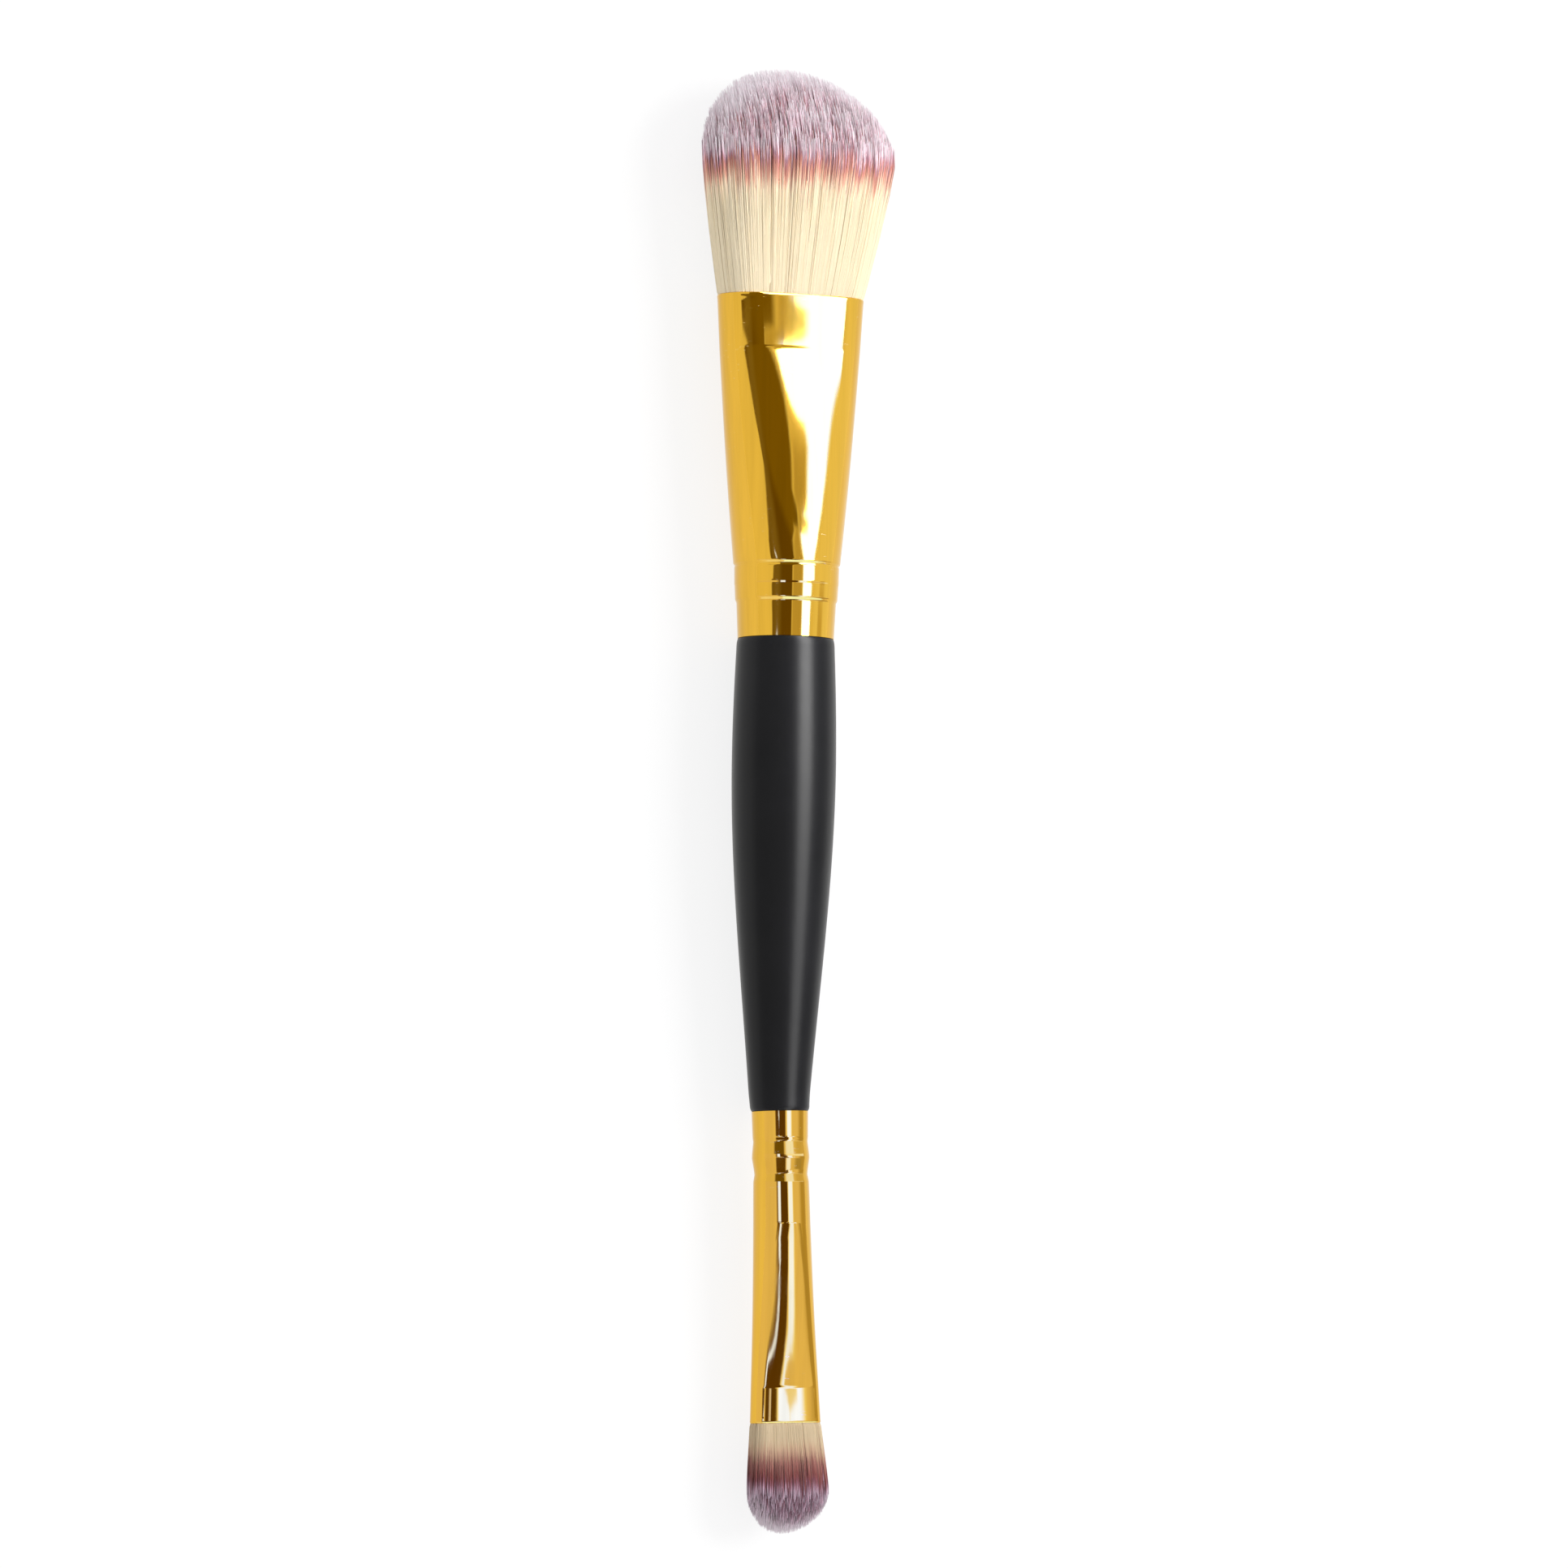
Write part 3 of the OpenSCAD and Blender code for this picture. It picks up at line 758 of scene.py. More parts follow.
class Recipe:
    """A material, or the world, made of nodes."""

    def __init__(self, name, owner=None):
        self.owner = owner or bpy.data.materials.new(name)
        self.owner.use_nodes = True
        self.tree = self.owner.node_tree
        self.tree.nodes.clear()

    def add(self, kind, settings=None, sockets=None, out=0):
        """Adds a node: its settings, a ramp's stops among them, then its sockets, and gives one of its outputs."""
        node = self.tree.nodes.new(kind)
        for key, value in (settings or {}).items():
            if key == "stops":
                ramp = node.color_ramp
                while len(ramp.elements) < len(value):
                    ramp.elements.new(0.5)
                for element, (at, rgb) in zip(ramp.elements, value):
                    element.position, element.color = at, (*rgb, 1)
            else:
                setattr(node, key, value)
        for key, value in (sockets or {}).items():
            if isinstance(value, Value):
                self.tree.links.new(value.socket, node.inputs[key])
            else:
                socket = node.inputs[key]
                socket.default_value = (*value, 1) if socket.type == "RGBA" else value
        return Value(self, node.outputs[out]) if node.outputs else node

    def place(self):
        return self.add("ShaderNodeTexCoord", out="Object")

    def part(self, axis):
        """One coordinate of the place on the object, in millimetres."""
        return self.add("ShaderNodeSeparateXYZ", sockets={0: self.place()}, out=axis) * (1 / MM)

    def noise(self, scale, detail, rough=0.5, at=None):
        """Noise from 0 to 1, at a number of waves per metre."""
        return self.add(
            "ShaderNodeTexNoise",
            sockets={"Vector": at or self.place(), "Scale": scale, "Detail": detail, "Roughness": rough},
        )

    def streaks(self, scale, detail, rough):
        """Noise from 0 to 1, at a number of waves per metre in each direction."""
        at = self.add("ShaderNodeMapping", sockets={"Vector": self.place(), "Scale": scale})
        return self.noise(1.0, detail, rough, at)

    def specks(self, scale, size, kept_scale, kept):
        """Small round specks at a number of cells per metre, of which a slower noise keeps only a few."""
        dots = self.add("ShaderNodeTexVoronoi", sockets={"Vector": self.place(), "Scale": scale})
        return dots.drop(*size) * self.noise(kept_scale, 0).step(*kept)

    def attribute(self, name):
        return self.add("ShaderNodeAttribute", {"attribute_name": name}, out="Fac")

    def blend(self, a, b, share_b):
        """Mixes two colours."""
        return self.add("ShaderNodeMix", {"data_type": "RGBA"}, {0: share_b, 6: a, 7: b}, out=2)

    def emission(self, tone):
        return self.add("ShaderNodeEmission", sockets={"Color": tone, "Strength": 1.0})

    def bump(self, height, distance, strength):
        return self.add("ShaderNodeBump", sockets={"Height": height, "Distance": distance, "Strength": strength})

    def finish(self, **sockets):
        """Ends a material in a Principled shader."""
        named = {key.replace("_", " "): value for key, value in sockets.items()}
        self.end(self.add("ShaderNodeBsdfPrincipled", sockets=named))
        return self.owner

    def end(self, shader):
        """Leads a shader to the output of the material or the world."""
        kind = "ShaderNodeOutputWorld" if isinstance(self.owner, bpy.types.World) else "ShaderNodeOutputMaterial"
        self.add(kind, sockets={"Surface": shader})


def lacquer():
    """Satin black lacquer with a faint orange peel and a few dust marks."""
    f = sizes("finishes")
    r = Recipe("black_lacquer")
    peel = r.noise(900, 3)
    cloud = r.noise(60, 3)
    dust = r.specks(260, (0.02, 0.06), 140, (0.68, 0.7))
    base = r.blend(tuple(f.lacquer), tuple(1.6 * c for c in f.lacquer), cloud.step(0.35, 0.75))
    base = r.blend(base, (0.10, 0.10, 0.11), dust * 0.7)
    return r.finish(
        Base_Color=base,
        Roughness=f.lacquer_rough + (cloud - 0.5) * 0.08 + (peel - 0.5) * 0.06,
        Normal=r.bump(peel, 0.02 * MM, 0.35),
        Specular_IOR_Level=0.21,
    )


def gold(name):
    """Polished gold plating with drawing marks along it, faint smudges, hair scratches and a few specks."""
    f = sizes("finishes")
    r = Recipe(name)
    drawn = r.streaks((900, 22, 900), 3, 0.6)
    smudge = r.noise(110, 4, 0.6)
    scratch = r.streaks((700, 3400, 1500), 1, 0.4).inside(0.74, 0.76, 0.008) * r.noise(150, 1).step(0.56, 0.62)
    speck = r.specks(210, (0.025, 0.045), 230, (0.66, 0.68))
    base = r.blend(tuple(f.gold), tuple(0.9 * c for c in f.gold), drawn.step(0.3, 0.75))
    base = r.blend(base, (0.95, 0.86, 0.62), (speck + scratch * 0.35).least(1.0))
    rough = f.gold_rough + smudge.step(0.5, 0.8) * 0.05 + scratch * 0.2 + speck * 0.4
    return r.finish(
        Base_Color=base,
        Metallic=1.0,
        Roughness=rough,
        Normal=r.bump(drawn * 0.6 + r.noise(260, 2) * 0.8, 0.01 * MM, 0.25),
    )


def hair_finish(name, rim_light_height, stops, uneven, contrast, rim_light_reach, rim_light_start):
    """Dyed synthetic hair: its colour runs from the tip down, a little differently on every strand.

    The stops stand in millimetres from the tip. Painted rim light, a pale sheen on the tips along the end's outline
    as the camera sees it, lies at the height rim_light_height, over rim_light_reach to each side, and begins at
    rim_light_start along the brush.
    """
    r = Recipe(name)
    reach = stops[-1][0]
    shade = r.attribute("shade")
    other = r.add("ShaderNodeTexWhiteNoise", {"noise_dimensions": "1D"}, {"W": shade * 977.0})
    back = r.attribute("from_tip") + ((shade - 0.5) * 2.2 + (r.noise(260, 1) - 0.5) * 2.0) * uneven
    dyed = r.add("ShaderNodeValToRGB", {"stops": [(at / reach, rgb) for at, rgb in stops]}, {0: back / reach})
    wild = back.drop(0.4 * reach, 0.75 * reach)
    streak = r.streaks((2400, 120, 2400), 2, 0.5) - 0.5
    light = 0.96 - wild * 0.5 * contrast + other * (0.1 + wild * contrast) + streak * (0.15 + wild * 0.3)
    base = r.add("ShaderNodeVectorMath", {"operation": "SCALE"}, {0: dyed, "Scale": light})
    # Painted rim light: the tips along the end's outline, halfway up the tuft as the brush lies, are painted paler
    # where the camera sees the dome edge on
    painted_rim_light = (r.part("Z") - rim_light_height).size().drop(0.35 * rim_light_reach, rim_light_reach)
    painted_rim_light = painted_rim_light * back.drop(0.1 * reach, 0.3 * reach) * r.part("Y").size().step(rim_light_start, rim_light_start + 8)
    base = r.blend(base, (1.0, 0.93, 0.97), painted_rim_light * 0.8)
    return r.finish(Base_Color=base, Roughness=0.5 + other * 0.15, Specular_IOR_Level=0.35)


def core_finish(name, mouth, low, high, low_at, high_at):
    """Packed hair under the drawn hairs, streaked along the brush. Its colour changes at two places from the mouth, to
    a darker copy of the dye that is painted shade inside the tuft, and its dark streaks are painted shade between the
    packed hairs.
    """
    r = Recipe(name)
    streak = r.streaks((3000, 130, 3000), 3, 0.6)
    up = r.part("Y") - mouth + (streak - 0.5) * 3
    base = r.blend(low, high, up.step(low_at, high_at) if high_at > low_at else up.drop(high_at, low_at))
    # Dark streaks: painted shade in the gaps between the packed hairs
    base = r.blend(base, (0.10, 0.07, 0.05), streak.step(0.45, 0.8) * 0.12)
    return r.finish(Base_Color=base, Roughness=0.8, Normal=r.bump(streak, 0.2 * MM, 0.6))


def set_glue():
    """Set glue, cloudy and a little uneven."""
    f = sizes("finishes")
    r = Recipe("set_glue")
    cloud = r.noise(400, 3)
    base = r.blend(tuple(f.glue), tuple(0.8 * c for c in f.glue), cloud)
    return r.finish(Base_Color=base, Roughness=0.25 + cloud * 0.2, Normal=r.bump(cloud, 0.1 * MM, 0.4))


# Studio. What a tent shows is given by the place along the brush, in millimetres, and by the turn round it, in degrees

# How far outside the inmost tent the other two stand
NEXT_TENT, OUTER_TENT = 1 * MM, 20 * MM
# Half the floor's side in metres, and the width of the camera's sensor in millimetres
FLOOR_HALF = 12
SENSOR = 36
SCREEN_GAMMA = 2.2


def mirrored(*seen):
    """The light that polished gold turns into a colour, which is given as a screen shows it."""
    return tuple((c / 255) ** SCREEN_GAMMA / own for c, own in zip(seen, sizes("finishes").gold))


def lit(r, tone, light, amount):
    """Blends towards a light through the yellow fringe that gold gives its edge."""
    tone = r.blend(tone, mirrored(246, 208, 100), amount.step(0.0, 0.6))
    return r.blend(tone, light, amount.step(0.3, 1.0))


def tent_place(r):
    """The place along a tent, and the turn round it from the camera."""
    x, y, z = r.part("X"), r.part("Y"), r.part("Z")
    return y, x.math("ARCTAN2", x, z) * (180 / math.pi) + VIEW_TURN


def large_surround(r, y, turn):
    """What the large ferrule mirrors: a dark gap, a softbox, and the wall between and beside them."""
    gap_left = y.along(
        (21, -31), (28, -33.5), (42, -28.7), (54.5, -23.4), (63, -20),
        (65.5, -22), (66.5, -40), (71.5, -40), (78, -24), (84, -14),
    )
    gap_right = y.along(
        (20, 13), (44, 13), (61.5, 16), (83.5, 26), (86, 32.5), (92, 32.5), (96, 28), (103.5, 30), (113, 30)
    )
    box_left = y.along(
        (22, 36), (60, 36), (83.8, 34), (86.4, 45), (89.8, 45),
        (91.6, 38), (93, 44), (108, 46), (113, 43), (115.5, 29),
    )
    box_right = y.along((22, 57.5), (40, 64), (56, 62), (80, 62), (95, 68))
    box_edge, box_middle = mirrored(252, 252, 250), (14.0, 15.0, 18.7)
    edge = 1.6
    dark = r.blend(mirrored(98, 63, 2), mirrored(117, 79, 5), y.step(64, 80))
    dark = r.blend(dark, mirrored(150, 112, 34), turn.inside(-30, -12, 6.0) * y.drop(70, 90) * 0.35)
    strip = r.blend(mirrored(189, 141, 44), mirrored(217, 166, 57), y.step(104, 112))
    strip = r.blend(strip, mirrored(240, 202, 94), turn.step(34, 46) * y.inside(85.5, 92, 1.0))
    wall = r.blend(mirrored(229, 178, 63), mirrored(237, 188, 72), turn.step(58, 75))
    tone = r.blend(wall, dark, turn.inside(gap_left, gap_right, edge))
    tone = r.blend(tone, strip, turn.inside(gap_right + edge, box_left - edge, 1.8))
    tone = r.blend(tone, mirrored(204, 154, 50), turn.inside(78, 92, 3.0) * y.drop(26, 36))
    box = turn.inside(box_left, box_right, 3.6)
    return r.blend(lit(r, tone, box_edge, box), box_middle, box.step(0.85, 1.0))


def small_surround(r, y, turn):
    """What the small ferrule mirrors: a thin bright line, a dark gap and a narrow softbox."""
    line_left = y.along(
        (-97, 15.5), (-95, 13), (-93.5, 12), (-91, 10.5), (-88, 8),
        (-85, 4.5), (-82, 1), (-78, -2.5), (-73, -6), (-45, -12),
    )
    line_right = y.along(
        (-97, 18), (-95, 15.8), (-93.5, 14.5), (-91, 12.8), (-88, 11),
        (-85, 8.5), (-82, 6), (-78, 3), (-73, 0), (-40, -2),
    )
    gap_right = y.along(
        (-104, 31), (-101, 33.5), (-96, 34.5), (-91, 34), (-87, 32), (-82, 27.5), (-57, 27), (-46, 20), (-38, 26)
    )
    glow_left = y.along((-104, 33), (-102, 35), (-99, 38), (-94, 37), (-87, 34), (-82, 30.5), (-57, 30), (-45, 28))
    glow_right = y.along((-104, 37.5), (-101.5, 43), (-99.5, 48), (-96, 51), (-91, 52.5), (-84, 50), (-45, 47))
    glow_soft = y.along((-104, 1.5), (-98, 6))
    dark, glowing, wall = mirrored(90, 54, 6), mirrored(252, 245, 222), mirrored(226, 175, 74)
    tone = r.blend(wall, mirrored(180, 132, 40), turn.inside(82, 112, 10.0))
    tone = r.blend(tone, mirrored(128, 90, 36), turn.step(line_left - 10, line_left - 2) * turn.drop(20, 24))
    tone = r.blend(tone, dark, turn.inside(line_right, gap_right, 1.5))
    no_line = y.inside(-55, -44, 1.0).most(y.drop(-98.5, -97)).most(y.inside(-69, -62, 0.6))
    tone = r.blend(tone, glowing, turn.inside(line_left, line_right, 1.2) * (1 - no_line))
    tone = r.blend(tone, dark, turn.inside(-17, gap_right, 3.0) * no_line)
    glow = turn.step(glow_left - 4, glow_left + 4) * turn.drop(glow_right - glow_soft, glow_right + glow_soft)
    tone = lit(r, tone, glowing, glow)
    # The flat band mirrors this: its white is notched from above
    notch = y.along((-69.6, 0), (-66, 9))
    sides = ((turn - 44).size() - notch).step(-2.5, 2.5)
    white = turn.step(27.5, 33) * turn.drop(54, 68) * (0.42 + sides * 0.58)
    flat = r.blend(wall, mirrored(176, 130, 42), turn.step(64, 80))
    flat = r.blend(flat, mirrored(92, 57, 8), turn.inside(8.5, 30, 3.0))
    flat = r.blend(flat, mirrored(215, 180, 120), turn.inside(20.4, 22.6, 0.6))
    flat = lit(r, flat, mirrored(254, 253, 248), white)
    tone = r.blend(tone, flat, y.inside(-73, -57, 1.0) * turn.step(-4, 2))
    # The lower wall of the first groove mirrors this
    deep = (turn.along((44, -108), (64, -98), (90, -83)) - y).step(0, 3)
    low = r.blend(mirrored(224, 173, 72), mirrored(172, 130, 46), turn.inside(62, 100, 9.0))
    low = r.blend(low, mirrored(92, 57, 4), turn.inside(-18, 21, 3.0))
    low = r.blend(low, mirrored(248, 230, 180), turn.inside(25, 42, 4.0))
    return r.blend(tone, low, deep)


def collar_surround(r, y, turn):
    """What the collar of the small ferrule mirrors on the far side of the tent."""
    tone = r.blend(mirrored(225, 175, 70), mirrored(206, 157, 58), turn.step(55, 75))
    tone = r.blend(tone, mirrored(108, 74, 10), turn.inside(-25, 15, 4.5))
    return r.blend(tone, mirrored(244, 222, 160), turn.inside(22, 55, 5.0))


def metal_tent_finish(name, far_side):
    """A tent that only one of the two ferrules mirrors."""
    r = Recipe(name)
    y, turn = tent_place(r)
    tone = r.blend(small_surround(r, y, turn), far_side(r, y, turn), y.step(-11, -8))
    # The tent beyond the small end, and the seam between its two sides, which the grooves mirror as fine bright lines
    beyond = y.drop(-140, -132)
    tone = r.blend(tone, mirrored(242, 202, 104), beyond * turn.inside(-100, 140, 8.0))
    tone = r.blend(tone, mirrored(252, 244, 160), beyond * turn.inside(-9, 95, 3.0))
    tone = r.blend(tone, mirrored(250, 218, 136), turn.inside(22, 105, 4.0) * y.inside(-10, -2, 1.5))
    for dot_turn, dot_y in ((-21, 33.8), (-20, 16.6), (-4, -47.8), (-4, -53.2)):
        dot = (1 - ((turn - dot_turn) / 3) ** 2 - ((y - dot_y) / 0.8) ** 2).step(0, 0.5)
        tone = r.blend(tone, mirrored(246, 232, 196), dot)
    clear = r.add("ShaderNodeBsdfTransparent")
    r.end(r.add("ShaderNodeAddShader", sockets={0: r.emission(tone), 1: clear}))
    return r.owner


def plain_tent_finish():
    """The tent that everything else mirrors: pale, with one softbox along the brush."""
    r = Recipe("plain_tent")
    y, turn = tent_place(r)
    box = turn.inside(34, 62, 3.0) * y.along((-70, 0.2), (-34, 0.3), (-2, 0.44), (37, 0.61), (58, 1.0))
    r.end(r.emission(r.blend((0.49, 0.49, 0.485), (18.1, 18.1, 17.9), box)))
    return r.owner


def floor_finish():
    """White paper: white to the camera, a plain bright surround to the metal, and it keeps a soft shadow."""
    r = Recipe("white_paper")
    camera = r.add("ShaderNodeLightPath", out="Is Camera Ray")
    polished = r.add("ShaderNodeLightPath", out="Is Glossy Ray")
    paper = r.add("ShaderNodeBsdfDiffuse", sockets={"Color": (0.86, 0.86, 0.86)})
    glow = r.emission(r.blend((1.05, 1.05, 1.05), (0.96, 0.96, 0.94), polished))
    r.end(r.add("ShaderNodeMixShader", sockets={0: (camera * 0.78).most(polished * 0.8), 1: paper, 2: glow}))
    return r.owner


def world_finish():
    """White to the camera, softer on the brush."""
    world = bpy.data.worlds.new("studio")
    bpy.context.scene.world = world
    r = Recipe("studio", world)
    camera = r.add("ShaderNodeLightPath", out="Is Camera Ray")
    tone = r.blend((0.68, 0.68, 0.69), (1, 1, 1), camera)
    r.end(r.add("ShaderNodeBackground", sockets={"Color": tone, "Strength": 1.0}))


def lamp(name, towards, distance, side, watts):
    """A soft square lamp aimed at the brush, which the metal doesn't mirror."""
    data = bpy.data.lights.new(name, "AREA")
    data.size, data.energy = side, watts
    piece = bpy.data.objects.new(name, data)
    piece.location = Vector(towards).normalized() * distance
    piece.rotation_euler = (-Vector(towards)).to_track_quat("-Z", "Y").to_euler()
    piece.visible_glossy = False
    bpy.context.scene.collection.objects.link(piece)


def camera_place():
    """Direction from the brush to the camera, and the directions of the picture's right and top."""
    s = sizes("studio")
    back = Vector((-math.sin(s.turn) * math.cos(s.pitch), -math.sin(s.pitch), math.cos(s.turn) * math.cos(s.pitch)))
    right = Vector((0, 1, 0)).cross(back).normalized()
    top = back.cross(right).normalized()
    roll = Matrix.Rotation(s.tip, 3, back)
    return back, roll @ right, roll @ top


# Operators, one for each piece or group of like pieces


class StudioOperator(bpy.types.Operator):
    """Sets up the camera, the white floor, the soft lamps and the light tents"""

    bl_idname = "brush.studio"
    bl_label = "Studio"

    def execute(self, context):
        s, scene = sizes("studio"), context.scene
        scene.view_settings.view_transform = "Standard"
        back, right, top = camera_place()
        data = bpy.data.cameras.new("camera")
        data.sensor_width = SENSOR
        data.lens = SENSOR * s.distance / s.seen_length
        data.clip_start, data.clip_end = 0.05, 50
        camera = bpy.data.objects.new("camera", data)
        aim = Lie().lying @ Vector((0, s.aim_y, 0)) + right * s.aim_x
        place = Matrix((right, top, back)).transposed().to_4x4()
        place.translation = aim + back * s.distance
        camera.matrix_world = place
        scene.collection.objects.link(camera)
        scene.camera = camera

        bm = bmesh.new()
        bmesh.ops.create_grid(bm, x_segments=2, y_segments=2, size=FLOOR_HALF)
        self.scenery(bm, "floor", floor_finish())
        self.tent("large_tent", s.tent_r, s.tent_len, metal_tent_finish("large_tent", large_surround))
        self.tent("small_tent", s.tent_r + NEXT_TENT, s.tent_len, metal_tent_finish("small_tent", collar_surround))
        self.tent("plain_tent", s.tent_r + OUTER_TENT, s.tent_len, plain_tent_finish())
        world_finish()
        lamp("key", towards=(0.9, 0.25, 1.0), distance=0.9, side=0.5, watts=6.1)
        lamp("fill", towards=(-0.8, -0.1, 0.9), distance=1.1, side=0.8, watts=0.75)
        return {"FINISHED"}

    def tent(self, name, radius, long, material):
        """An open tube that shows only in reflections, on the pieces that its collection names or doesn't leave out."""
        bm = bmesh.new()
        along = Matrix.Rotation(math.radians(90), 4, "X")
        bmesh.ops.create_cone(
            bm, cap_ends=False, segments=160, radius1=radius, radius2=radius, depth=long, matrix=along
        )
        bmesh.ops.reverse_faces(bm, faces=bm.faces)
        tent = self.scenery(bm, name, material)
        tent.visible_camera = tent.visible_diffuse = tent.visible_shadow = False
        tent.light_linking.receiver_collection = bpy.data.collections.new(name)

    def scenery(self, bm, name, material):
        """Makes a bmesh a smooth object of the studio."""
        mesh = bpy.data.meshes.new(name)
        bm.to_mesh(mesh)
        bm.free()
        mesh.polygons.foreach_set("use_smooth", [True] * len(mesh.polygons))
        mesh.materials.append(material)
        piece = bpy.data.objects.new(name, mesh)
        bpy.context.scene.collection.objects.link(piece)
        return piece


class HandleOperator(bpy.types.Operator):
    """Turns the lacquered handle with the two tenons that sit in the ferrules"""

    bl_idname = "brush.handle"
    bl_label = "Handle"

    def execute(self, context):
        s, large, small = sizes("handle"), sizes("large_ferrule"), sizes("small_ferrule")
        inset, bend, bend_soft = 0.45 * MM, s.lean_depth, 3 * MM
        belly_r, head_r, tail_r = s.belly_d / 2, s.head_d / 2, s.tail_d / 2
        head_face, tail_face = large.end_d / 2 - s.seat_inset, small.end_d / 2 - s.seat_inset
        top = s.length - s.shoulder
        outline = [(0, -small.neck_len)]
        outline += [(r - inset, -z) for r, z in reversed(small_neck(small))]
        outline += [(tail_face, 0)]
        outline += [
            (lerp(tail_face, tail_r, math.sin(a)), s.tail_round * (1 - math.cos(a)))
            for a in spread(0, math.pi / 2, 8)[1:]
        ]
        outline += [
            (curve(tail_r, belly_r, s.tail_slope, 0, s.belly_at - s.tail_round, k), lerp(s.tail_round, s.belly_at, k))
            for k in spread(0, 1, 40)[1:]
        ]
        outline += [
            (curve(belly_r, head_r, 0, -s.head_slope, top - s.belly_at, k), lerp(s.belly_at, top, k))
            for k in spread(0, 1, 16)[1:]
        ]
        outline += [
            (lerp(head_face, head_r, math.cos(a)), s.length - s.shoulder * (1 - math.sin(a)))
            for a in spread(0, math.pi / 2, 10)[1:]
        ]
        outline += [(r - inset, s.length + z) for r, z in large_neck(large)]
        outline += [(0, s.length + large.neck_len)]
        bm = bmesh.new()
        turned(bm, outline, 144)
        there, back = Matrix.Translation((0, 0, bend)), Matrix.Translation((0, 0, -bend))
        leaning = there @ Matrix.Rotation(-s.lean, 4, "Y") @ back
        for v in bm.verts:
            v.co = v.co.lerp(leaning @ v.co, 1 - smooth(v.co.z / bend_soft))
        mesh = settle(bm, "handle_body", Lie().handle)
        show(mesh, "handle_body", lacquer(), ("handle",), sharp=40)
        return {"FINISHED"}


class FerrulesOperator(bpy.types.Operator):
    """Draws and crimps the two gold ferrules"""

    bl_idname = "brush.ferrules"
    bl_label = "Ferrules"

    def execute(self, context):
        large, small, lie = sizes("large_ferrule"), sizes("small_ferrule"), Lie()
        mesh = ferrule(large, large_neck(large), "large_ferrule_gold", lie.large_end)
        show(mesh, "large_ferrule_gold", gold("gold_large"), ("large_ferrule",), sharp=50)
        mesh = ferrule(small, small_neck(small), "small_ferrule_gold", lie.small_end)
        show(mesh, "small_ferrule_gold", gold("gold_small"), ("small_ferrule",), sharp=50)
        for tent, state, names in (
            ("large_tent", "INCLUDE", ("large_ferrule_gold",)),
            ("small_tent", "INCLUDE", ("small_ferrule_gold",)),
            ("plain_tent", "EXCLUDE", ("large_ferrule_gold", "small_ferrule_gold")),
        ):
            group = bpy.data.collections[tent]
            for name in names:
                group.objects.link(bpy.data.objects[name])
            for member in group.collection_objects:
                member.light_linking.link_state = state
        return {"FINISHED"}


def set_tuft(end, place, dye, core, seeds, stands_for):
    """Sets one tuft: the hairs of its sides, the hairs of its dome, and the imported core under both."""
    t = sizes(f"{end}_tuft")
    form = TuftForm(t, sizes(f"{end}_ferrule"))
    middle = place @ Vector((0, 0, form.f.length + t.widest_at))
    # The painted rim light lies at the height of the tuft's middle, along its outline as the camera sees it
    dyed = hair_finish(f"{end}_dyed_hair", rim_light_height=middle.z / MM, **dye)
    for part, hairs, seed in zip(("sides", "tips"), (t.side_hairs, t.tip_hairs), seeds):
        name = f"{end}_hair_{part}"
        strands = hair_strands(form, hairs, part == "sides", seed)
        show(hair(form, strands, name, place), name, dyed)
    mouth = place @ Vector((0, 0, form.f.length))
    packed = core_finish(f"{end}_packed_hair", mouth=mouth.y / MM, **core)
    name = f"{end}_hair_core"
    show(hair_core(form, name, place), name, packed, (stands_for,))


class LargeTuftOperator(bpy.types.Operator):
    """Sets the hair of the large tuft"""

    bl_idname = "brush.large_tuft"
    bl_label = "Large tuft"

    def execute(self, context):
        f = sizes("finishes")
        cream, plum, lilac = tuple(f.cream), tuple(f.plum), tuple(f.lilac)
        stops = [
            (0, (0.98, 0.89, 0.93)),
            (0.5, (0.93, 0.78, 0.84)),
            (1.2, lilac),
            (1.8, (0.52, 0.30, 0.38)),
            (2.8, plum),
            (4.3, (0.74, 0.40, 0.29)),
            (5.7, (0.93, 0.74, 0.54)),
            (7.6, cream),
            (11.0, cream),
        ]
        # The rim settings place the painted rim light, a pale sheen along the dome's outline
        dye = {"stops": stops, "uneven": 1.15, "contrast": 0.9, "rim_light_reach": 5.0, "rim_light_start": 79}
        # The core's colour away from the mouth is a darker copy of the plum dye: painted shade inside the tuft
        core = {"low": cream, "high": (0.16, 0.07, 0.08), "low_at": 10, "high_at": 15}
        set_tuft("large", Lie().large_end, dye, core, (11, 12), "large_tuft")
        return {"FINISHED"}


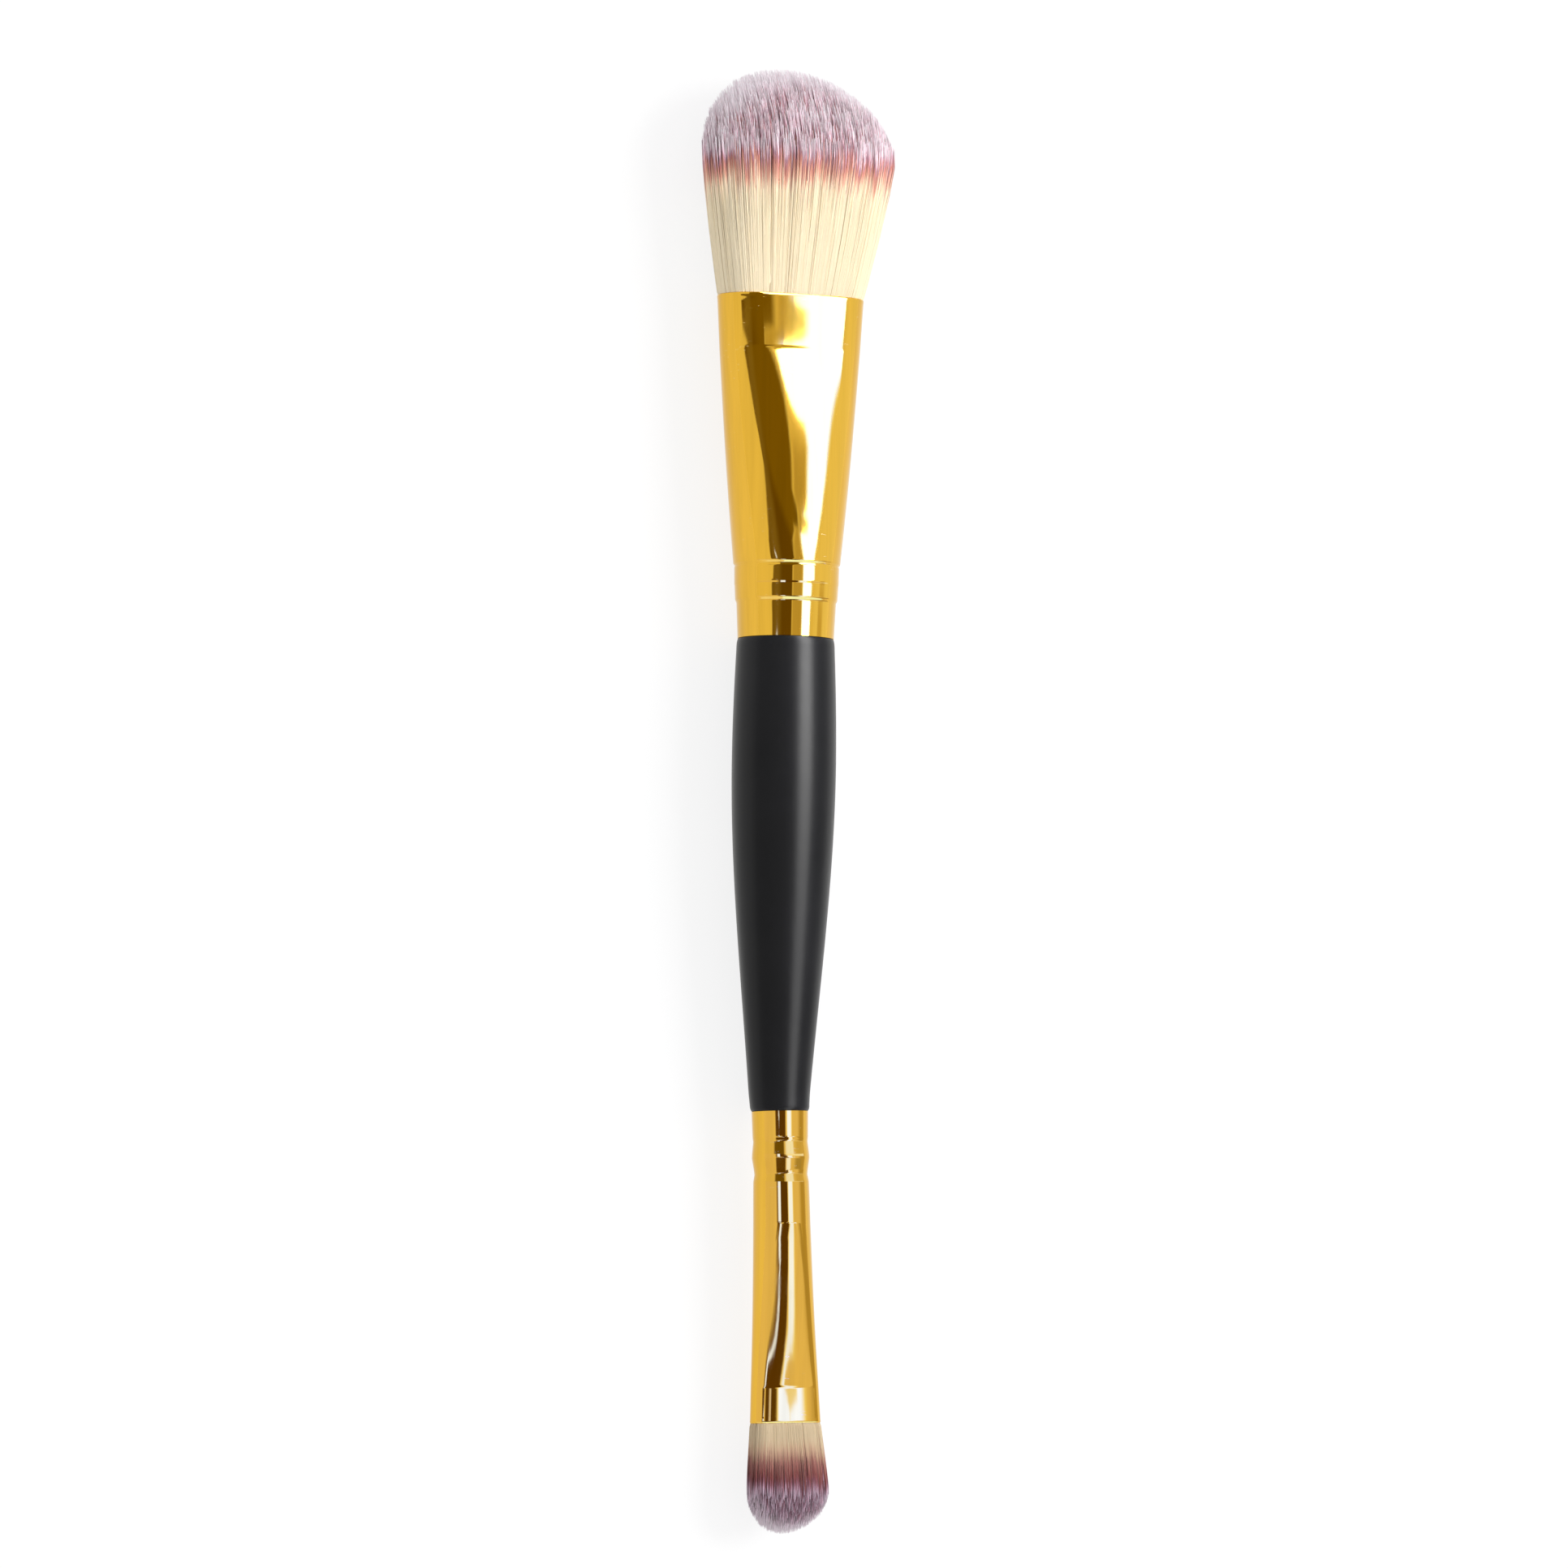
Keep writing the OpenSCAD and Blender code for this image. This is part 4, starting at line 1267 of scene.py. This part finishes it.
class SmallTuftOperator(bpy.types.Operator):
    """Sets the hair of the small tuft"""

    bl_idname = "brush.small_tuft"
    bl_label = "Small tuft"

    def execute(self, context):
        f = sizes("finishes")
        tan, maroon, mauve = tuple(f.tan), tuple(f.maroon), tuple(f.mauve)
        stops = [
            (0, (0.50, 0.38, 0.46)),
            (0.7, mauve),
            (1.3, (0.17, 0.065, 0.085)),
            (2.2, maroon),
            (4.2, (0.24, 0.10, 0.08)),
            (5.8, (0.50, 0.34, 0.22)),
            (6.8, tan),
            (8.0, tan),
        ]
        # The rim settings place the painted rim light, a pale sheen along the dome's outline
        dye = {"stops": stops, "uneven": 0.6, "contrast": 1.3, "rim_light_reach": 2.0, "rim_light_start": 83}
        # The core's colour away from the mouth is a darker copy of the maroon dye: painted shade inside the tuft
        core = {"low": tan, "high": (0.07, 0.03, 0.035), "low_at": -3, "high_at": -6}
        set_tuft("small", Lie().small_end, dye, core, (21, 22), "small_tuft")
        return {"FINISHED"}


class GlueOperator(bpy.types.Operator):
    """Finishes the glue plugs inside the ferrules"""

    bl_idname = "brush.glue"
    bl_label = "Glue"

    def execute(self, context):
        material = set_glue()
        for node in ("large_glue_plug", "small_glue_plug"):
            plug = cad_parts[node]
            plug.data.materials.clear()
            plug.data.materials.append(material)
        return {"FINISHED"}


OPERATORS = (StudioOperator, HandleOperator, FerrulesOperator, LargeTuftOperator, SmallTuftOperator, GlueOperator)


class BrushPanel(bpy.types.Panel):
    """Lists the steps that make the brush"""

    bl_idname = "VIEW3D_PT_brush"
    bl_label = "Double ended brush"
    bl_space_type = "VIEW_3D"
    bl_region_type = "UI"
    bl_category = "Brush"

    def draw(self, context):
        for operator in OPERATORS:
            self.layout.operator(operator.bl_idname)


def register():
    for group in SIZES.values():
        bpy.utils.register_class(group)
    for name, group in SIZES.items():
        setattr(bpy.types.Scene, f"brush_{name}", PointerProperty(type=group))
    for operator in OPERATORS:
        bpy.utils.register_class(operator)
    bpy.utils.register_class(BrushPanel)


def unregister():
    bpy.utils.unregister_class(BrushPanel)
    for operator in reversed(OPERATORS):
        bpy.utils.unregister_class(operator)
    for name in SIZES:
        delattr(bpy.types.Scene, f"brush_{name}")
    for group in SIZES.values():
        bpy.utils.unregister_class(group)


def main():
    register()
    bpy.ops.brush.studio()
    bpy.ops.brush.handle()
    bpy.ops.brush.ferrules()
    bpy.ops.brush.large_tuft()
    bpy.ops.brush.small_tuft()
    bpy.ops.brush.glue()


if __name__ == "__main__":
    main()
